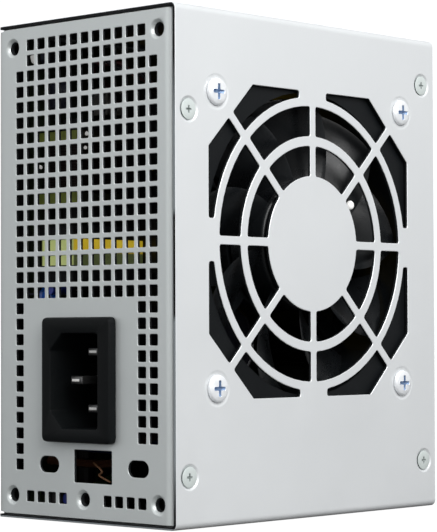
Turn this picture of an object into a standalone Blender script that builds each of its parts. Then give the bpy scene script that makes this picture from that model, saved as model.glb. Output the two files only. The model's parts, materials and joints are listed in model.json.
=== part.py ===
"""A small-form-factor computer power supply, built piece by piece.

+X points out of the fan face, -Y out of the mains-inlet panel and +Z up. The origin is the
centre of the face that the case stands on. Every length below is in millimetres, and each
mesh is scaled to Blender's metres when it is made an object.
"""

import math

import bmesh
import bpy
from mathutils import Matrix, Vector

MM = 0.001
GAP = 0.3

# The case: two folded sheets
THICKNESS = 63.5
DEPTH = 100.0
HEIGHT = 125.0
SHEET = 0.8
BASE_BEND = 2.2
COVER_BEND = 1.6
FLANGE = 8.6
BEND_STEPS = 3
HALF_X = THICKNESS / 2
HALF_Y = DEPTH / 2
FLANGE_X = HALF_X - SHEET - GAP
INLET_INSIDE = -HALF_Y + SHEET

# The inlet panel: mounting holes, vent grid and cut-outs, placed by X and Z
MOUNT_HOLES = ((-25.75, 5.8), (0.0, 5.8), (25.75, 5.8), (-25.75, 119.0), (25.75, 119.0))
MOUNT_HOLE_RADIUS = 1.65
VENT_SIDE = 2.75
VENT_STEP_X = 3.956
VENT_STEP_Z = 3.915
VENT_FIRST = (-23.18, 119.31)
SWITCH_CUTOUT = ((-3.25, 9.9), (10.0, 18.0))
SLOT_CENTRES = ((-12.24, 14.0), (19.07, 14.0))
SLOT_LENGTH = 7.0
SLOT_WIDTH = 4.1

# The mains inlet
INLET_CENTRE = (-0.5, 35.1)
BEZEL_SIZE = (24.5, 30.8)
BEZEL_DEPTH = 2.2
INLET_BODY_SIZE = (21.4, 26.8)
INLET_BACK = -31.0
CAVITY_LOW = (-9.3, 23.2)
CAVITY_HIGH = (7.4, 46.5)
CAVITY_DEPTH = 16.0
CAVITY_CHAMFER = 4.2
PIN_SIZE = (4.0, 2.0)
PIN_BACK = -27.5
PIN_PLACES = {"line": (1.04, 42.0, 4.8), "neutral": (1.04, 28.0, 4.8), "earth": (-2.96, 35.0, 2.8)}

# The fan and its grille, placed by Y and Z
FAN_Z = 68.9
FAN_SIDE = 80.0
FAN_DEPTH = 15.0
FAN_FRONT = HALF_X - SHEET - 2 * GAP
FAN_BACK = FAN_FRONT - FAN_DEPTH
FAN_HOLE = 35.75
FAN_BORE = 38.3
MOTOR_RADIUS = 17.5
STRUT_WIDTH = 4.0
HUB_RADIUS = 16.8
HUB_FRONT = FAN_FRONT - 0.8
HUB_BACK = FAN_BACK + 3.4
BLADE_COUNT = 9
BLADE_TIP = 37.0
GRILLE_RINGS = ((17.1, 24.75), (27.2, 34.8))
GRILLE_OUTER = 37.0
GRILLE_HALF = 38.5
GRILLE_FLAT = 22.6
GRILLE_LAND = 5.2
SPOKE_WIDTH = 2.1

# Screws that hold the cover, placed by Y and Z
COVER_SCREWS = ((-45.4, 99.75), (44.8, 112.6), (-45.4, 12.4), (45.0, 12.4))

# The cable outlet in the cable panel
OUTLET_CENTRE = (-6.0, 98.0)
OUTLET_RADIUS = 10.0

# The board stands on four spacers on the base plate
BOARD_BACK = -26.0
BOARD_TOP = -24.4
BOARD_LOW = (-44.0, 3.0)
BOARD_HIGH = (46.0, 122.0)
SPACERS = ((-39.5, 7.5), (41.5, 7.5), (-39.5, 117.5), (41.5, 117.5))
SEAT = BOARD_TOP + GAP


def clear_scene():
    """Removes every object, so that a second run starts from nothing."""
    for thing in list(bpy.data.objects):
        bpy.data.objects.remove(thing, do_unlink=True)
    for group in list(bpy.data.collections):
        bpy.data.collections.remove(group)


def new_collection(name):
    group = bpy.data.collections.new(name)
    bpy.context.scene.collection.children.link(group)
    return group


clear_scene()
PARTS = new_collection("power_supply_unit")
CUTTERS = new_collection("cutters")


def finish(name, colour, roughness, metallic=0.0):
    """A plain Principled material."""
    material = bpy.data.materials.new(name)
    material.use_nodes = True
    shader = material.node_tree.nodes["Principled BSDF"]
    shader.inputs["Base Color"].default_value = (*colour, 1.0)
    shader.inputs["Roughness"].default_value = roughness
    shader.inputs["Metallic"].default_value = metallic
    return material


ZINC = finish("zinc_plated_steel", (0.52, 0.55, 0.55), 0.4, 0.9)
COVER_PAINT = finish("pale_plated_steel", (0.72, 0.74, 0.76), 0.4, 0.6)
SCREW_STEEL = finish("screw_steel", (0.55, 0.57, 0.60), 0.3, 1.0)
BLACK_PLASTIC = finish("black_plastic", (0.012, 0.012, 0.014), 0.35)
INLET_PLASTIC = finish("inlet_plastic", (0.03, 0.03, 0.033), 0.5)
PIN_METAL = finish("pin_metal", (0.75, 0.74, 0.70), 0.25, 1.0)
BOARD_GREEN = finish("board", (0.09, 0.16, 0.05), 0.5)
FILM = finish("insulation_film", (0.05, 0.05, 0.05), 0.5)
ALUMINIUM = finish("heat_sink_aluminium", (0.6, 0.6, 0.62), 0.4, 1.0)
FERRITE = finish("ferrite", (0.05, 0.05, 0.055), 0.55)
YELLOW_TAPE = finish("yellow_tape", (0.85, 0.62, 0.08), 0.35)
OLIVE_BOBBIN = finish("bobbin", (0.28, 0.30, 0.06), 0.45)
COPPER = finish("enamelled_copper", (0.55, 0.22, 0.08), 0.35, 0.8)
CAP_SLEEVE = finish("capacitor_sleeve", (0.02, 0.02, 0.025), 0.35)
BLUE_RESIN = finish("blue_resin", (0.02, 0.12, 0.55), 0.3)
YELLOW_CASE = finish("film_capacitor_case", (0.75, 0.60, 0.12), 0.45)
CHIP_RESIN = finish("chip_resin", (0.02, 0.02, 0.02), 0.5)
FUSE_CERAMIC = finish("fuse_ceramic", (0.75, 0.72, 0.65), 0.4)
BROWN_WIRE = finish("brown_wire", (0.20, 0.07, 0.03), 0.45)
BLUE_WIRE = finish("blue_wire", (0.02, 0.08, 0.40), 0.45)
EARTH_WIRE = finish("earth_wire", (0.25, 0.50, 0.05), 0.45)
WHITE_NYLON = finish("white_nylon", (0.80, 0.79, 0.75), 0.5)
BRONZE = finish("bearing_bronze", (0.50, 0.33, 0.14), 0.4, 1.0)
MAGNET = finish("magnet", (0.04, 0.04, 0.04), 0.6)


def place(name, bm, material, group=None):
    """Scales a bmesh from millimetres to metres and makes it a named object."""
    bmesh.ops.scale(bm, vec=(MM, MM, MM), verts=bm.verts)
    mesh = bpy.data.meshes.new(name)
    bm.to_mesh(mesh)
    bm.free()
    return place_mesh(name, mesh, material, group)


def place_mesh(name, data, material, group=None):
    thing = bpy.data.objects.new(name, data)
    if material:
        data.materials.append(material)
    (group or PARTS).objects.link(thing)
    if group is CUTTERS:
        thing.hide_render = True
        thing.display_type = "WIRE"
    return thing


def bevel(thing, width, segments=2):
    modifier = thing.modifiers.new("bevel", "BEVEL")
    modifier.width = width * MM
    modifier.segments = segments
    modifier.limit_method = "ANGLE"
    return thing


def combine(thing, operation, tools):
    """Cuts thing with the tools, or joins them to it."""
    for tool in tools:
        modifier = thing.modifiers.new(operation.lower() + "_" + tool.name, "BOOLEAN")
        modifier.operation = operation
        modifier.solver = "EXACT"
        modifier.object = tool
    return thing


def add_box(bm, low, high):
    """Adds a box between two corners."""
    low, high = Vector(low), Vector(high)
    size = high - low
    matrix = Matrix.Translation((low + high) / 2) @ Matrix.Diagonal((*size, 1.0))
    return bmesh.ops.create_cube(bm, size=1.0, matrix=matrix)["verts"]


def add_rod(bm, start, end, radius, sides=16, end_radius=None):
    """Adds a cylinder or a cone between two points."""
    start, end = Vector(start), Vector(end)
    along = end - start
    turn = Vector((0, 0, 1)).rotation_difference(along).to_matrix().to_4x4()
    bmesh.ops.create_cone(
        bm, cap_ends=True, segments=sides, radius1=radius,
        radius2=radius if end_radius is None else end_radius, depth=along.length,
        matrix=Matrix.Translation((start + end) / 2) @ turn,
    )


def add_prism(bm, outline, low, high, axis):
    """Sweeps a flat outline from low to high along an axis. The outline is in the other two, in order."""
    def point(a, b, h):
        return {"X": (h, a, b), "Y": (a, h, b), "Z": (a, b, h)}[axis]

    face = bm.faces.new([bm.verts.new(point(a, b, low)) for a, b in outline])
    swept = bmesh.ops.extrude_face_region(bm, geom=[face])["geom"]
    moved = [item for item in swept if isinstance(item, bmesh.types.BMVert)]
    bmesh.ops.translate(bm, vec=point(0, 0, high - low), verts=moved)
    bmesh.ops.recalc_face_normals(bm, faces=bm.faces)


def box(name, low, high, material, group=None):
    bm = bmesh.new()
    add_box(bm, low, high)
    return place(name, bm, material, group)


def boxes(name, corner_pairs, group):
    bm = bmesh.new()
    for low, high in corner_pairs:
        add_box(bm, low, high)
    return place(name, bm, None, group)


def rods(name, ends, radius, sides=16):
    """Separate round cutters of one radius, as one object."""
    bm = bmesh.new()
    for start, end in ends:
        add_rod(bm, start, end, radius, sides)
    return place(name, bm, None, CUTTERS)


TURNS = {"X": (0, math.pi / 2, 0), "Y": (-math.pi / 2, 0, 0), "Z": (0, 0, 0)}


def turned(name, profile, centre, axis, material, steps=16, closed=False, group=None):
    """Spins a profile of (radius, height) points about an axis through centre.

    The profile runs down its outer side. A closed profile makes a ring.
    """
    bm = bmesh.new()
    verts = [bm.verts.new((radius, 0, height)) for radius, height in profile]
    pairs = list(zip(verts, verts[1:]))
    if closed:
        pairs.append((verts[-1], verts[0]))
    for pair in pairs:
        bm.edges.new(pair)
    thing = place(name, bm, material, group)
    thing.location = Vector(centre) * MM
    thing.rotation_euler = TURNS[axis]
    screw = thing.modifiers.new("screw", "SCREW")
    screw.axis = "Z"
    screw.steps = screw.render_steps = steps
    screw.use_merge_vertices = True
    screw.merge_threshold = 0.00001
    screw.use_smooth_shade = True
    return thing


def arc(centre, radius, start, end, steps):
    """Points of a round stretch, with its ends. Angles are in radians."""
    angles = [start + (end - start) * step / steps for step in range(steps + 1)]
    return [(centre[0] + radius * math.cos(a), centre[1] + radius * math.sin(a)) for a in angles]


def rounded_rectangle(centre, size, radius, steps=3):
    half = (size[0] / 2 - radius, size[1] / 2 - radius)
    points = []
    for turn, (sx, sy) in enumerate(((1, 1), (-1, 1), (-1, -1), (1, -1))):
        corner = (centre[0] + sx * half[0], centre[1] + sy * half[1])
        points += arc(corner, radius, turn * math.pi / 2, (turn + 1) * math.pi / 2, steps)
    return points


def folded_path(corners, radius, steps):
    """The corners of a strip that is folded at right angles, with each fold rounded."""
    points = [corners[0]]
    for before, corner, after in zip(corners, corners[1:], corners[2:]):
        corner = Vector(corner)
        inward = (corner - Vector(before)).normalized()
        outward = (Vector(after) - corner).normalized()
        centre = corner - inward * radius + outward * radius
        for step in range(steps + 1):
            angle = step / steps * math.pi / 2
            points.append(centre - outward * radius * math.cos(angle) + inward * radius * math.sin(angle))
    points.append(corners[-1])
    return [tuple(point) for point in points]


def folded_sheet(name, path, span, width_axis, material):
    """A strip along the path, SHEET thick inwards, swept over a span of Z or Y."""
    bm = bmesh.new()
    start, end = span
    if width_axis == "Z":
        verts = [bm.verts.new((a, b, start)) for a, b in path]
        sweep = (0, 0, end - start)
    else:
        verts = [bm.verts.new((a, start, b)) for a, b in path]
        sweep = (0, end - start, 0)
    edges = [bm.edges.new(pair) for pair in zip(verts, verts[1:])]
    swept = bmesh.ops.extrude_edge_only(bm, edges=edges)["geom"]
    bmesh.ops.translate(bm, vec=sweep, verts=[v for v in swept if isinstance(v, bmesh.types.BMVert)])
    middle = Vector((0, 0, HEIGHT / 2))
    bm.normal_update()
    inward = [f for f in bm.faces if f.normal.dot(f.calc_center_median() - middle) < 0]
    if len(inward) > len(bm.faces) / 2:
        bmesh.ops.reverse_faces(bm, faces=bm.faces)
    thing = place(name, bm, material)
    solidify = thing.modifiers.new("sheet", "SOLIDIFY")
    solidify.thickness = SHEET * MM
    solidify.offset = -1
    solidify.use_even_offset = True
    return thing


def smooth_route(points, spacing):
    """Points about spacing apart on a Catmull-Rom curve through a route's own points."""
    points = [Vector(p) for p in points]
    padded = [2 * points[0] - points[1], *points, 2 * points[-1] - points[-2]]
    route = []
    for a, b, c, d in zip(padded, padded[1:], padded[2:], padded[3:]):
        count = max(2, round((c - b).length / spacing))
        for step in range(count):
            t = step / count
            route.append(0.5 * ((2 * b) + (c - a) * t + (2 * a - 5 * b + 4 * c - d) * t ** 2
                                + (3 * b - a - 3 * c + d) * t ** 3))
    return route + [points[-1]]


def wire(name, points, radius, material):
    """A round wire along a smooth route."""
    curve = bpy.data.curves.new(name, "CURVE")
    curve.dimensions = "3D"
    curve.bevel_depth = radius * MM
    curve.bevel_resolution = 2
    curve.render_resolution_u = 0
    curve.use_fill_caps = True
    route = smooth_route(points, 4.5)
    spline = curve.splines.new("POLY")
    spline.points.add(len(route) - 1)
    for point, place_mm in zip(spline.points, route):
        point.co = (*(place_mm * MM), 1.0)
    return place_mesh(name, curve, material)


# The case

def vent_holes():
    """Columns and rows of the vent grid that are punched, as centres in X and Z."""
    every, inner = range(13), range(1, 12)
    rows = [inner] * 2 + [every] * 15 + [(0, 11, 12)] * 9 + [(0,)] * 2 + [()] + [(1, 2, 3, 4, 8, 9, 10, 11)]
    return [(VENT_FIRST[0] + column * VENT_STEP_X, VENT_FIRST[1] - row * VENT_STEP_Z)
            for row, columns in enumerate(rows) for column in columns]


def through_inlet_panel(x, z):
    """A line through the inlet panel, past both its faces."""
    return (x, -HALF_Y - 1, z), (x, -HALF_Y + SHEET + 1, z)


def base_cutters():
    half = VENT_SIDE / 2
    low_y, high_y = -HALF_Y - 1, -HALF_Y + SHEET + 1
    vents = boxes("vent_cutter", [((x - half, low_y, z - half), (x + half, high_y, z + half))
                                  for x, z in vent_holes()], CUTTERS)
    trim = SHEET + GAP
    trims = boxes("height_trim", [
        ((-HALF_X + trim, -HALF_Y - 1, -1), (HALF_X + 1, HALF_Y + 1, trim)),
        ((-HALF_X + trim, -HALF_Y - 1, HEIGHT - trim), (HALF_X + 1, HALF_Y + 1, HEIGHT + 1)),
    ], CUTTERS)
    mounts = rods("mount_hole_cutter", [through_inlet_panel(x, z) for x, z in MOUNT_HOLES],
                  MOUNT_HOLE_RADIUS)
    windows = bmesh.new()
    x, z = INLET_CENTRE
    width, height = (side + 2 * GAP for side in INLET_BODY_SIZE)
    add_box(windows, (x - width / 2, low_y, z - height / 2), (x + width / 2, high_y, z + height / 2))
    (x0, z0), (x1, z1) = SWITCH_CUTOUT
    add_box(windows, (x0, low_y, z0), (x1, high_y, z1))
    for x, z in SLOT_CENTRES:
        reach = (SLOT_LENGTH - SLOT_WIDTH) / 2
        outline = arc((x + reach, z), SLOT_WIDTH / 2, -math.pi / 2, math.pi / 2, 6)
        outline += arc((x - reach, z), SLOT_WIDTH / 2, math.pi / 2, 3 * math.pi / 2, 6)
        add_prism(windows, outline, low_y, high_y, "Y")
    windows = place("window_cutter", windows, None, CUTTERS)
    spacers = rods("spacer_hole_cutter", [((-HALF_X - 1, y, z), (-HALF_X + SHEET + 1, y, z))
                                          for y, z in SPACERS], 2.6, 12)
    flange_holes = rods("flange_hole_cutter", [((FLANGE_X - SHEET - 1, y, z), (FLANGE_X + 1, y, z))
                                               for y, z in COVER_SCREWS], 1.8, 12)
    x, z = OUTLET_CENTRE
    outlet = rods("outlet_cutter", [((x, HALF_Y - SHEET - 1, z), (x, HALF_Y + 1, z))], OUTLET_RADIUS, 32)
    return vents, trims, mounts, windows, spacers, flange_holes, outlet


def base_shell():
    """The base plate, both panels and their flanges, folded from one sheet."""
    path = folded_path([
        (FLANGE_X, -HALF_Y + FLANGE), (FLANGE_X, -HALF_Y), (-HALF_X, -HALF_Y),
        (-HALF_X, HALF_Y), (FLANGE_X, HALF_Y), (FLANGE_X, HALF_Y - FLANGE),
    ], BASE_BEND, BEND_STEPS)
    shell = folded_sheet("base_shell", path, (0, HEIGHT), "Z", ZINC)
    return combine(shell, "DIFFERENCE", base_cutters())


def ring_window(inner, outer, middle_angle, steps=6):
    """A grille window between two rings and two spokes that are 45 degrees apart."""
    def stretch(radius, forwards):
        half = math.pi / 8 - math.asin(SPOKE_WIDTH / 2 / radius)
        sign = 1 if forwards else -1
        return arc((0, FAN_Z), radius, middle_angle - sign * half, middle_angle + sign * half, steps)

    return stretch(inner, True) + stretch(outer, False)


def corner_window(quarter, side, steps=6):
    """A grille window between the outer ring, the octagon, an axis land and a diagonal spoke."""
    start = math.asin(GRILLE_LAND / GRILLE_OUTER)
    end = math.pi / 4 - math.asin(SPOKE_WIDTH / 2 / GRILLE_OUTER)
    diagonal = Vector((1, 1)).normalized()
    across = Vector((1, -1)).normalized()
    reach = (GRILLE_HALF + GRILLE_FLAT) / math.sqrt(2)
    spoke_end = diagonal * reach + across * SPOKE_WIDTH / 2
    outline = arc((0, 0), GRILLE_OUTER, start, end, steps)
    outline += [tuple(spoke_end), (GRILLE_HALF, GRILLE_FLAT), (GRILLE_HALF, GRILLE_LAND)]
    turn = Matrix.Rotation(quarter * math.pi / 2, 2)
    return [tuple(turn @ Vector((a, b * side)) + Vector((0, FAN_Z))) for a, b in outline]


def cover_cutters():
    low_x, high_x = HALF_X - SHEET - 1, HALF_X + 1
    grille = bmesh.new()
    for step in range(8):
        for inner, outer in GRILLE_RINGS:
            outline = ring_window(inner, outer, (step + 0.5) * math.pi / 4)
            add_prism(grille, outline, low_x, high_x, "X")
    for quarter in range(4):
        for side in (1, -1):
            add_prism(grille, corner_window(quarter, side), low_x, high_x, "X")
    grille = place("grille_cutter", grille, None, CUTTERS)
    fan_holes = rods("fan_hole_cutter", [((low_x, y, z), (high_x, y, z)) for y, z in fan_corners()], 2.3, 12)
    sinks = bmesh.new()
    for y, z in COVER_SCREWS:
        add_rod(sinks, (HALF_X - SHEET - 0.2, y, z), (HALF_X + 0.2, y, z), 1.75, 16, 3.15)
    sinks = place("countersink_cutter", sinks, None, CUTTERS)
    return grille, fan_holes, sinks


def cover_shell():
    """The fan face and the two long sides, folded from one sheet."""
    edge = -HALF_X + SHEET + GAP
    path = folded_path([(edge, 0), (HALF_X, 0), (HALF_X, HEIGHT), (edge, HEIGHT)], COVER_BEND, BEND_STEPS)
    shell = folded_sheet("cover_shell", path, (-HALF_Y, HALF_Y), "Y", COVER_PAINT)
    return combine(shell, "DIFFERENCE", cover_cutters())


# The fan

def fan_corners():
    """The fan's four screw places in Y and Z."""
    return [(sy * FAN_HOLE, FAN_Z + sz * FAN_HOLE) for sy in (-1, 1) for sz in (-1, 1)]


def fan_screws():
    head = [(0, 0.95), (2.3, 0.8), (3.1, 0.35), (3.4, 0), (1.9, 0), (1.9, -9.5), (0, -9.5)]
    for number, (y, z) in enumerate(fan_corners(), 1):
        turned(f"fan_screw_{number}", head, (HALF_X + 0.05, y, z), "X", SCREW_STEEL, 12)


def cover_screws():
    head = [(0, 0), (2.5, 0), (1.45, -1.15), (1.45, -5.6), (0, -5.6)]
    for number, (y, z) in enumerate(COVER_SCREWS, 1):
        turned(f"cover_screw_{number}", head, (HALF_X, y, z), "X", SCREW_STEEL, 12)


def strut_window(quarter, steps=8):
    """An opening in the back of the fan frame, between two struts."""
    def stretch(radius, forwards):
        half = math.pi / 4 - math.asin(STRUT_WIDTH / 2 / radius)
        sign = 1 if forwards else -1
        middle = quarter * math.pi / 2
        return arc((0, FAN_Z), radius, middle - sign * half, middle + sign * half, steps)

    return stretch(MOTOR_RADIUS, True) + stretch(FAN_BORE, False)


def fan_frame():
    """The square frame, with four struts that carry the motor's plate and bearing tube."""
    plate_front = FAN_BACK + 2.5
    body = bmesh.new()
    add_prism(body, rounded_rectangle((0, FAN_Z), (FAN_SIDE, FAN_SIDE), 4.0), FAN_BACK, FAN_FRONT, "X")
    frame = place("fan_frame", body, BLACK_PLASTIC)
    bore = bmesh.new()
    add_rod(bore, (plate_front, 0, FAN_Z), (FAN_FRONT + 1, 0, FAN_Z), FAN_BORE, 48)
    windows = bmesh.new()
    for quarter in range(4):
        add_prism(windows, strut_window(quarter), FAN_BACK - 1, plate_front + 0.5, "X")
    holes = rods("frame_hole_cutter", [((FAN_BACK - 1, y, z), (FAN_FRONT + 1, y, z))
                                       for y, z in fan_corners()], 2.2, 12)
    tube = bmesh.new()
    add_rod(tube, (FAN_BACK + 1, 0, FAN_Z), (FAN_BACK + 9.5, 0, FAN_Z), 4.5, 20)
    seat_ends = (plate_front, 0, FAN_Z), (FAN_BACK + 10, 0, FAN_Z)
    bearing_seat = rods("bearing_seat_cutter", [seat_ends], 3.3, 16)
    combine(frame, "DIFFERENCE", (place("bore_cutter", bore, None, CUTTERS),
                                  place("strut_cutter", windows, None, CUTTERS), holes))
    combine(frame, "UNION", (place("bearing_tube", tube, None, CUTTERS),))
    return combine(frame, "DIFFERENCE", (bearing_seat,))


def blade_surface(bm, turn):
    """One thin blade, twisted from its root in the hub to its tip, as an open grid of faces."""
    across, along = 4, 5
    grid = []
    for i in range(along + 1):
        u = i / along
        radius = HUB_RADIUS - 0.8 + (BLADE_TIP - HUB_RADIUS + 0.8) * u
        chord = math.radians(33 - 3 * u)
        sweep = math.radians(16) * u ** 1.4
        front, back = HUB_FRONT - 1.0, HUB_BACK + 0.8 + 1.6 * u
        row = []
        for j in range(across + 1):
            v = j / across
            angle = turn + sweep + (v - 0.5) * chord
            camber = 1.1 * math.sin(math.pi * v)
            x = back + (front - back) * (1 - v) + camber
            row.append(bm.verts.new((x, radius * math.cos(angle), radius * math.sin(angle))))
        grid.append(row)
    for low, high in zip(grid, grid[1:]):
        for a, b, c, d in zip(low, low[1:], high[1:], high):
            bm.faces.new((a, b, c, d))


def fan_rotor(axis):
    """The hub cup with its blades, the magnet ring and the shaft, all parented to the fan's axis."""
    blades = bmesh.new()
    for number in range(BLADE_COUNT):
        blade_surface(blades, number * math.tau / BLADE_COUNT)
    blades = place("blades", blades, None, CUTTERS)
    thick = blades.modifiers.new("blade_thickness", "SOLIDIFY")
    thick.thickness = 1.0 * MM
    thick.offset = 0
    wall, front_wall = 1.5, 1.3
    front, back = HUB_FRONT, HUB_BACK
    cup = [(0, front), (HUB_RADIUS - 0.8, front), (HUB_RADIUS, front - 0.8), (HUB_RADIUS, back),
           (HUB_RADIUS - wall, back), (HUB_RADIUS - wall, front - front_wall), (0, front - front_wall)]
    rotor = turned("fan_rotor", cup, (0, 0, 0), "X", BLACK_PLASTIC, 36)
    combine(rotor, "UNION", (blades,))
    ring_outer = HUB_RADIUS - wall - GAP
    ring = [(ring_outer, front - front_wall - GAP), (ring_outer, back + 0.2),
            (ring_outer - 1.4, back + 0.2), (ring_outer - 1.4, front - front_wall - GAP)]
    magnet = turned("fan_magnet_ring", ring, (0, 0, 0), "X", MAGNET, 24, closed=True)
    shaft_back = FAN_BACK + 2.5 + GAP
    shaft = turned("fan_shaft", [(0, front - front_wall - GAP), (1.2, front - front_wall - GAP),
                                 (1.2, shaft_back), (0, shaft_back)], (0, 0, 0), "X", SCREW_STEEL, 12)
    for piece in (blades, rotor, magnet, shaft):
        piece.parent = axis


def fan_motor():
    """The bearing and the stator, which stay with the frame."""
    low, high = FAN_BACK + 2.5 + GAP, FAN_BACK + 9.2
    sleeve = [(3.0, high), (3.0, low), (1.5, low), (1.5, high)]
    turned("fan_bearing", sleeve, (0, 0, FAN_Z), "X", BRONZE, 16, closed=True)
    low, high = FAN_BACK + 3.8, FAN_BACK + 9.0
    coils = [(11.5, high), (12.6, high - 1), (12.6, low + 1), (11.5, low), (4.8, low), (4.8, high)]
    turned("fan_stator", coils, (0, 0, FAN_Z), "X", COPPER, 16, closed=True)


# The mains inlet

def inlet_housing():
    """The moulded socket: a bezel outside the panel, a box inside it, and two snap wedges."""
    x, z = INLET_CENTRE
    width, height = INLET_BODY_SIZE
    front, panel = -HALF_Y - GAP - BEZEL_DEPTH, -HALF_Y - GAP
    bezel = bmesh.new()
    add_prism(bezel, rounded_rectangle(INLET_CENTRE, BEZEL_SIZE, 1.2), front, panel, "Y")
    housing = place("inlet_housing", bezel, INLET_PLASTIC)
    body = box("inlet_body", (x - width / 2, front + 0.5, z - height / 2),
               (x + width / 2, INLET_BACK, z + height / 2), None, CUTTERS)
    wedges = bmesh.new()
    for side in (-1, 1):
        root, tip = z + side * (height / 2 - 1), z + side * (height / 2 + 1.1)
        outline = [(INLET_INSIDE + GAP, root), (INLET_INSIDE + GAP, tip), (INLET_INSIDE + 6, root)]
        add_prism(wedges, outline, x - 4, x + 4, "X")
    wedges = place("snap_wedges", wedges, None, CUTTERS)
    (x0, z0), (x1, z1) = CAVITY_LOW, CAVITY_HIGH
    c = CAVITY_CHAMFER
    outline = [(x0 + c, z0), (x1, z0), (x1, z1), (x0 + c, z1), (x0, z1 - c), (x0, z0 + c)]
    cavity = bmesh.new()
    add_prism(cavity, outline, front - 1, front + CAVITY_DEPTH, "Y")
    cavity = place("cavity_cutter", cavity, None, CUTTERS)
    half_x, half_z = PIN_SIZE[0] / 2 + GAP, PIN_SIZE[1] / 2 + GAP
    slots = boxes("pin_slot_cutter", [((px - half_x, front + CAVITY_DEPTH - 1, pz - half_z),
                                       (px + half_x, INLET_BACK + 1, pz + half_z))
                                      for px, pz, _ in PIN_PLACES.values()], CUTTERS)
    combine(housing, "UNION", (body, wedges))
    return combine(housing, "DIFFERENCE", (cavity, slots))


def inlet_pins():
    front = -HALF_Y - GAP - BEZEL_DEPTH
    for name, (x, z, recess) in PIN_PLACES.items():
        bm = bmesh.new()
        half_x, half_z = PIN_SIZE[0] / 2, PIN_SIZE[1] / 2
        tip = add_box(bm, (x - half_x, front + recess, z - half_z),
                      (x + half_x, front + recess + 1.2, z + half_z))
        shank = [f for f in bm.faces if f.normal.y > 0.5]
        grown = bmesh.ops.extrude_face_region(bm, geom=shank)["geom"]
        bmesh.ops.delete(bm, geom=shank, context="FACES_ONLY")
        bmesh.ops.translate(bm, vec=(0, PIN_BACK - front - recess - 1.2, 0),
                            verts=[v for v in grown if isinstance(v, bmesh.types.BMVert)])
        nose = [v for v in tip if v.co.y < front + recess + 0.1]
        middle = Matrix.Translation((x, 0, z))
        bmesh.ops.scale(bm, vec=(0.75, 1, 0.5), space=middle.inverted(), verts=nose)
        place(f"inlet_pin_{name}", bm, PIN_METAL)


# The board, what stands on it and what holds it

def board_hardware():
    """Spacers riveted in the base plate, the film over them and the screws in the board."""
    low, high = -HALF_X + SHEET + GAP, BOARD_BACK - GAP
    pillar = [(2.9, high), (2.9, low), (2.25, low), (2.25, -HALF_X + GAP), (1.8, -HALF_X + GAP), (1.8, high)]
    screw = [(0, 1.9), (2.0, 1.5), (2.7, 0), (1.5, 0), (1.5, -5.2), (0, -5.2)]
    for number, (y, z) in enumerate(SPACERS, 1):
        turned(f"board_spacer_{number}", pillar, (0, y, z), "X", SCREW_STEEL, 10, closed=True)
        turned(f"board_screw_{number}", screw, (SEAT, y, z), "X", SCREW_STEEL, 10)
    (y0, z0), (y1, z1) = BOARD_LOW, BOARD_HIGH
    board = box("circuit_board", (BOARD_BACK, y0, z0), (BOARD_TOP, y1, z1), BOARD_GREEN)
    combine(board, "DIFFERENCE", (rods("board_hole_cutter", [((BOARD_BACK - 1, y, z), (BOARD_TOP + 1, y, z))
                                                             for y, z in SPACERS], 1.8, 12),))
    film_back = -HALF_X + SHEET + GAP
    film = box("insulation_sheet", (film_back, y0 - 2, z0), (film_back + 0.4, y1 + 1, z1), FILM)
    combine(film, "DIFFERENCE", (rods("film_hole_cutter", [((film_back - 1, y, z), (film_back + 2, y, z))
                                                           for y, z in SPACERS], 3.3, 12),))


def heat_sinks():
    """Two upright plates with their tops folded over, each with the chip that it cools."""
    profiles = {
        "primary_heat_sink": ([(-23.8, -9.3), (12.0, -9.3), (12.0, -24.0), (9.8, -24.0), (9.8, -11.5),
                               (-23.8, -11.5)], 58.5, 112.0),
        "secondary_heat_sink": ([(-23.8, 31.0), (-23.8, 33.2), (9.8, 33.2), (9.8, 44.0), (12.0, 44.0),
                                 (12.0, 31.0)], 50.0, 112.0),
    }
    for name, (outline, low, high) in profiles.items():
        bm = bmesh.new()
        add_prism(bm, outline, low, high, "Z")
        place(name, bm, ALUMINIUM)
    box("switching_transistor", (-18, -16.4, 62), (2, -11.8, 77.5), CHIP_RESIN)
    box("output_rectifier", (-18, 33.5, 80), (2, 38.1, 95.5), CHIP_RESIN)


def main_transformer():
    """A frame of ferrite round a taped winding."""
    y, z = 11.0, 80.0
    core = box("transformer_core", (SEAT + 0.6, y - 17.5, z - 6), (9.4, y + 17.5, z + 6), FERRITE)
    middles = [y + side * 9.0 for side in (-1, 1)]
    windows = boxes("core_window_cutter", [((SEAT + 5.6, middle - 3.6, z - 7), (4.4, middle + 3.6, z + 7))
                                           for middle in middles], CUTTERS)
    combine(core, "DIFFERENCE", (windows,))
    winding = box("transformer_winding", (SEAT + 5.9, y - 12.2, z - 14), (4.1, y + 12.2, z + 14), YELLOW_TAPE)
    leg = boxes("winding_bore_cutter", [((-30, y - 5.7, z - 6.3), (10, y + 5.7, z + 6.3))], CUTTERS)
    combine(bevel(winding, 2.0), "DIFFERENCE", (leg,))


def standby_transformer():
    """A low transformer near the inlet panel, with a belt of yellow tape round its core."""
    low, high = (SEAT, -43.1, 57.6), (-11.4, -19.4, 74.0)
    bevel(box("standby_transformer_core", low, high, FERRITE), 0.6, 1)
    belt_low, belt_high, thick = 63.7, 70.4, 0.5
    outer = box("standby_transformer_tape", (SEAT, low[1] - GAP - thick, belt_low),
                (high[0] + GAP + thick, high[1] + GAP + thick, belt_high), YELLOW_TAPE)
    inner = boxes("tape_cutter", [((SEAT - 1, low[1] - GAP, belt_low - 1),
                                   (high[0] + GAP, high[1] + GAP, belt_high + 1))], CUTTERS)
    combine(outer, "DIFFERENCE", (inner,))


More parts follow.
